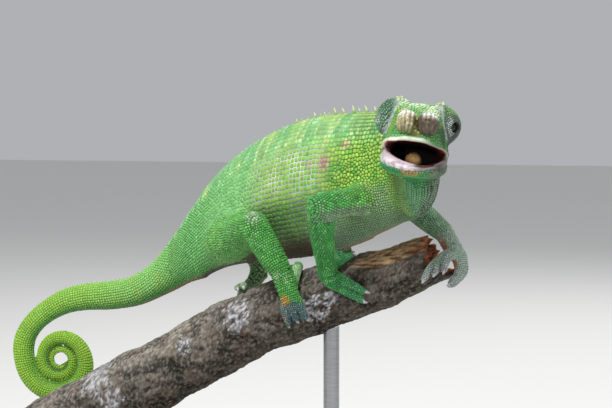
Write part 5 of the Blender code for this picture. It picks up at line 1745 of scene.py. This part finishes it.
def turned_to(direction):
    """The turn that brings the upright axis to a direction."""
    return Vector((0, 0, 1)).rotation_difference(direction).to_matrix().to_4x4()


def crest_cone(bm, back, height, radius, lean):
    """A cone rooted in the ridge at a distance back, leaning to the tail."""
    row = between_rows(back, spine_distance, spine_table)
    up, left = Vector(row[6:9]), Vector(row[3:6])
    forward = left.cross(up).normalized()
    rise = (up - forward * lean).normalized()
    foot = Vector(row[:3]) + up.normalized() * (row[9] - COAT_DEPTH - 0.5)
    bmesh.ops.create_cone(
        bm, cap_ends=True, segments=8, radius1=radius, radius2=0.1 * radius, depth=height + 0.5,
        matrix=Matrix.Translation(foot + rise * (height + 0.5) / 2) @ turned_to(rise),
    )


bm = bmesh.new()
for back, height, radius in SPINES:
    crest_cone(bm, back, height, radius, SPINE_LEAN + 0.2 * math.sin(3 * back))
back = KNOB_START
while back < KNOB_END:
    shrink = 1 - 0.6 * rising(np.array(back), 120.0, KNOB_END)
    crest_cone(bm, back, KNOB_HEIGHT * shrink * rng.uniform(0.7, 1.3), KNOB_RADIUS * shrink, 0.3)
    back += KNOB_SPACING * rng.uniform(0.85, 1.15)
# Soft horn: pale yellow-green cones, lighter to the tip
crest = shown("crest", bm, scale_material)
points = places_of(crest.data)
ridge = spine_table[:, :3] + spine_table[:, 6:9] * spine_table[:, 9:10]
nearest = np.array([np.argmin(((ridge - point) ** 2).sum(1)) for point in points])
above = ((points - spine_table[nearest, :3]) * spine_table[nearest, 6:9]).sum(1) - spine_table[nearest, 9]
crest_tones = mixed("7fb04c", "cfd89a", rising(above, 0.0, 1.4))
paint(crest.data, "marking_and_shade", crest_tones)
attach(crest, "root")

# Eyes
# A dark glossy ball deep in each turret: a round black pupil in a thin coppery iris, seen through the
# small opening of the fused lids.
EYE_RADIUS, EYE_SINK = 2.3, 0.75
PUPIL_ANGLE, IRIS_ANGLE = 34.0, 41.0

# Wet cornea over a pigmented eye: almost a mirror, with the colour deep below the gloss
eye_material, tree = new_material("wet_cornea")
iris = node(tree, "Attribute", attribute_name="iris")
surface(tree, {
    "Base Color": iris.outputs["Color"], "Roughness": 0.2, "Coat Weight": 0.4, "Coat Roughness": 0.02,
    "IOR": 1.38,
})
for side_name in ("left", "right"):
    look = Vector(eye_looks[side_name])
    middle = Vector(eye_middles[side_name]) + look * (TURRET_RADIUS + LID_RISE - EYE_SINK - EYE_RADIUS)
    placed = Matrix.Translation(middle) @ turned_to(look)
    bm = bmesh.new()
    bmesh.ops.create_uvsphere(bm, u_segments=40, v_segments=40, radius=EYE_RADIUS, matrix=placed)
    eye = shown(f"eye_{side_name}", bm, eye_material)
    offset = places_of(eye.data) - np.array(middle)
    off_axis = np.degrees(np.arccos(np.clip(offset @ np.array(look) / EYE_RADIUS, -1, 1)))
    iris_tones = mixed("050505", "5d3420", rising(off_axis, PUPIL_ANGLE - 3, PUPIL_ANGLE + 2))
    iris_tones = mixed(iris_tones, "1b1512", rising(off_axis, IRIS_ANGLE - 3, IRIS_ANGLE + 3))
    paint(eye.data, "iris", iris_tones)
    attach(eye, "root")
    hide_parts(f"eyeball_{side_name}")

# Horns
# Two short blunt horns on the snout: bone cores under large upright plates of horn, pinkish beige with
# brown seams, paler on top.
HORN = (
    (10.5, 3.3, -3.5, 1.9, 2.7), (11.5, 3.3, -3.5, 2.0, 2.9), (14.5, 3.1, -3.4, 2.4, 3.3),
    (17.2, 2.9, -3.2, 2.3, 3.1), (19.2, 2.7, -2.8, 1.9, 2.6), (20.3, 2.5, -2.4, 1.4, 1.9),
    (20.7, 2.4, -2.3, 0.7, 1.0), (20.8, 2.4, -2.3, 0.05, 0.08),
)
# How much wider, and further out, each horn is than that
HORN_WIDER = {"left": (0.55, -0.3), "right": (0.2, 0.1)}
HORN_TONES = {"left": ("413a2d", "726a52", "30372a"), "right": ("94895f", "cfc9a2", "66763c")}
FLUTE_PITCH, FLUTE_DEPTH, PLATE_LENGTH, SEAM_DEPTH = 0.95, 0.15, 2.3, 0.12
HORN_SQUARENESS, HORN_INSET, HORN_SIDES = 0.68, 0.15, 110

# Horn: smooth dense keratin with fine growth streaks, half matt
horn_material, tree = new_material("grooved_horn")
looks, _ = speckled(tree, "marking_and_shade", 0.4, 3.0, 0.2, (0.25, 0.1))
surface(tree, {**looks, "Roughness": 0.48})
for side_name, side in (("left", 1), ("right", -1)):
    grid = []
    turns = round_turns(HORN_SIDES)
    across = signed_power(np.cos(turns), HORN_SQUARENESS)
    over = signed_power(np.sin(turns), HORN_SQUARENESS)
    for x, y, z, half_width, half_height in smooth_rows(HORN, 10):
        wider, further = HORN_WIDER[side_name]
        widths = (half_width * (1 + wider / 2.4) - HORN_INSET) * (1 + 0.1 * over)
        heights = (half_height - HORN_INSET) * over
        grid.append(np.stack([
            np.full(HORN_SIDES, x), side * (y + further + widths * across), z + heights,
        ], 1))
    bm = rolled(np.array(grid))
    bm.normal_update()
    local = np.array([vert.co for vert in bm.verts])
    outward = np.array([vert.normal for vert in bm.verts])
    turn = np.arctan2(local[:, 1] - side * 2.8, local[:, 0] - 15.0)
    phase = turn * 3.6 / FLUTE_PITCH + 0.25 * rough_at(local, 2.5, 71, 2)
    flute = np.cos(phase * 2 * math.pi)
    lift = local[:, 2] / PLATE_LENGTH + 0.37 * np.round(phase) + 0.2 * rough_at(local, 2.0, 72, 1)
    seam = np.exp(-(((lift % 1.0 - 0.5) / 0.09) ** 2))
    moved_out = local + outward * (FLUTE_DEPTH * flute - SEAM_DEPTH * seam)[:, None]
    for vert, place in zip(bm.verts, moved(head_matrix, moved_out)):
        vert.co = place
    horn = shown(f"horn_sheath_{side_name}", bm, horn_material)
    speckle = rough_at(local, 1.1, 73, 2)
    dark, light, low = HORN_TONES[side_name]
    tones = layered(
        mixed(dark, light, rising(speckle, -0.35, 0.3)),
        ("f2eee4", 0.9 * rising(local[:, 2], -2.4, -0.5)),
        (low, 0.8 * falling(local[:, 2], -5.8, -3.4)),
        # The flutes are painted darker in their grooves: painted shade
        ("5b4836", 0.65 * falling(flute, -0.9, 0.1)),
        ("6a5542", 0.5 * seam),
        ("4f4030", 0.7 * falling(np.abs(local[:, 1]), 0.9, 1.7)),
    )
    paint(horn.data, "marking_and_shade", tones)
    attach(horn, "root")
    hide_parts(f"horn_{side_name}")

# Tongue
# The folded tip of the long sticky tongue rests on the floor of the mouth: soft ochre flesh, wet and
# finely wrinkled.
TONGUE_LINE = (
    (-5.0, 0.0, -8.9, 1.6), (-1.5, -0.1, -8.6, 1.9), (2.0, -0.1, -8.3, 2.1), (5.5, -0.2, -8.0, 2.2),
    (9.0, -0.3, -7.7, 1.9),
)
tongue_material, tree = new_material("wet_tongue")
bumps = specks(tree, 0.6, 3.0)
surface(tree, {
    "Base Color": blend(tree, bumps, linear("bd9150"), linear("eac884")), "Roughness": 0.34,
    "Coat Weight": 0.4, "Coat Roughness": 0.1, "Subsurface Weight": 0.2, "Subsurface Scale": 0.6 * MM,
    "Normal": dented(tree, bumps, 0.5, 0.2),
})
grid = tube_rings(rows_in(jaw_matrix, TONGUE_LINE), 10, 40)
middles = grid.mean(axis=1)[:, None]
grid = middles + (grid - middles) * (1 + 0.05 * rough_at(grid, 1.1, 81, 3))[..., None]
tongue = shown("tongue_tip", rolled(grid), tongue_material)
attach(tongue, "root")
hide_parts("tongue")

# Claws
# A short curved claw carries on each toe's line and bends to the branch: horn, pale grey to the tip.
CLAW_STEPS = ((-0.4, 0.0, 0.6), (0.5, 0.02, 0.55), (1.0, 0.15, 0.42), (1.4, 0.4, 0.26), (1.75, 0.8, 0.07))
claw_material, tree = new_material("claw_horn")
claw_tone = blend(tree, specks(tree, 0.5, 2.0), linear("8c8a92"), linear("cfcbd0"))
surface(tree, {"Base Color": claw_tone, "Roughness": 0.35})
joined = bmesh.new()
for toe in claw_lines:
    along = unit(toe[-1] - toe[-2])
    inward = unit(branch_at(toe[-1][0])[:3] - toe[-1])
    rows = [(*(toe[-1] + along * on + inward * bend), radius) for on, bend, radius in CLAW_STEPS]
    join(joined, rolled(tube_rings(rows, 3, 10)))
claws = shown("claws", joined, claw_material)
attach(claws, "root")
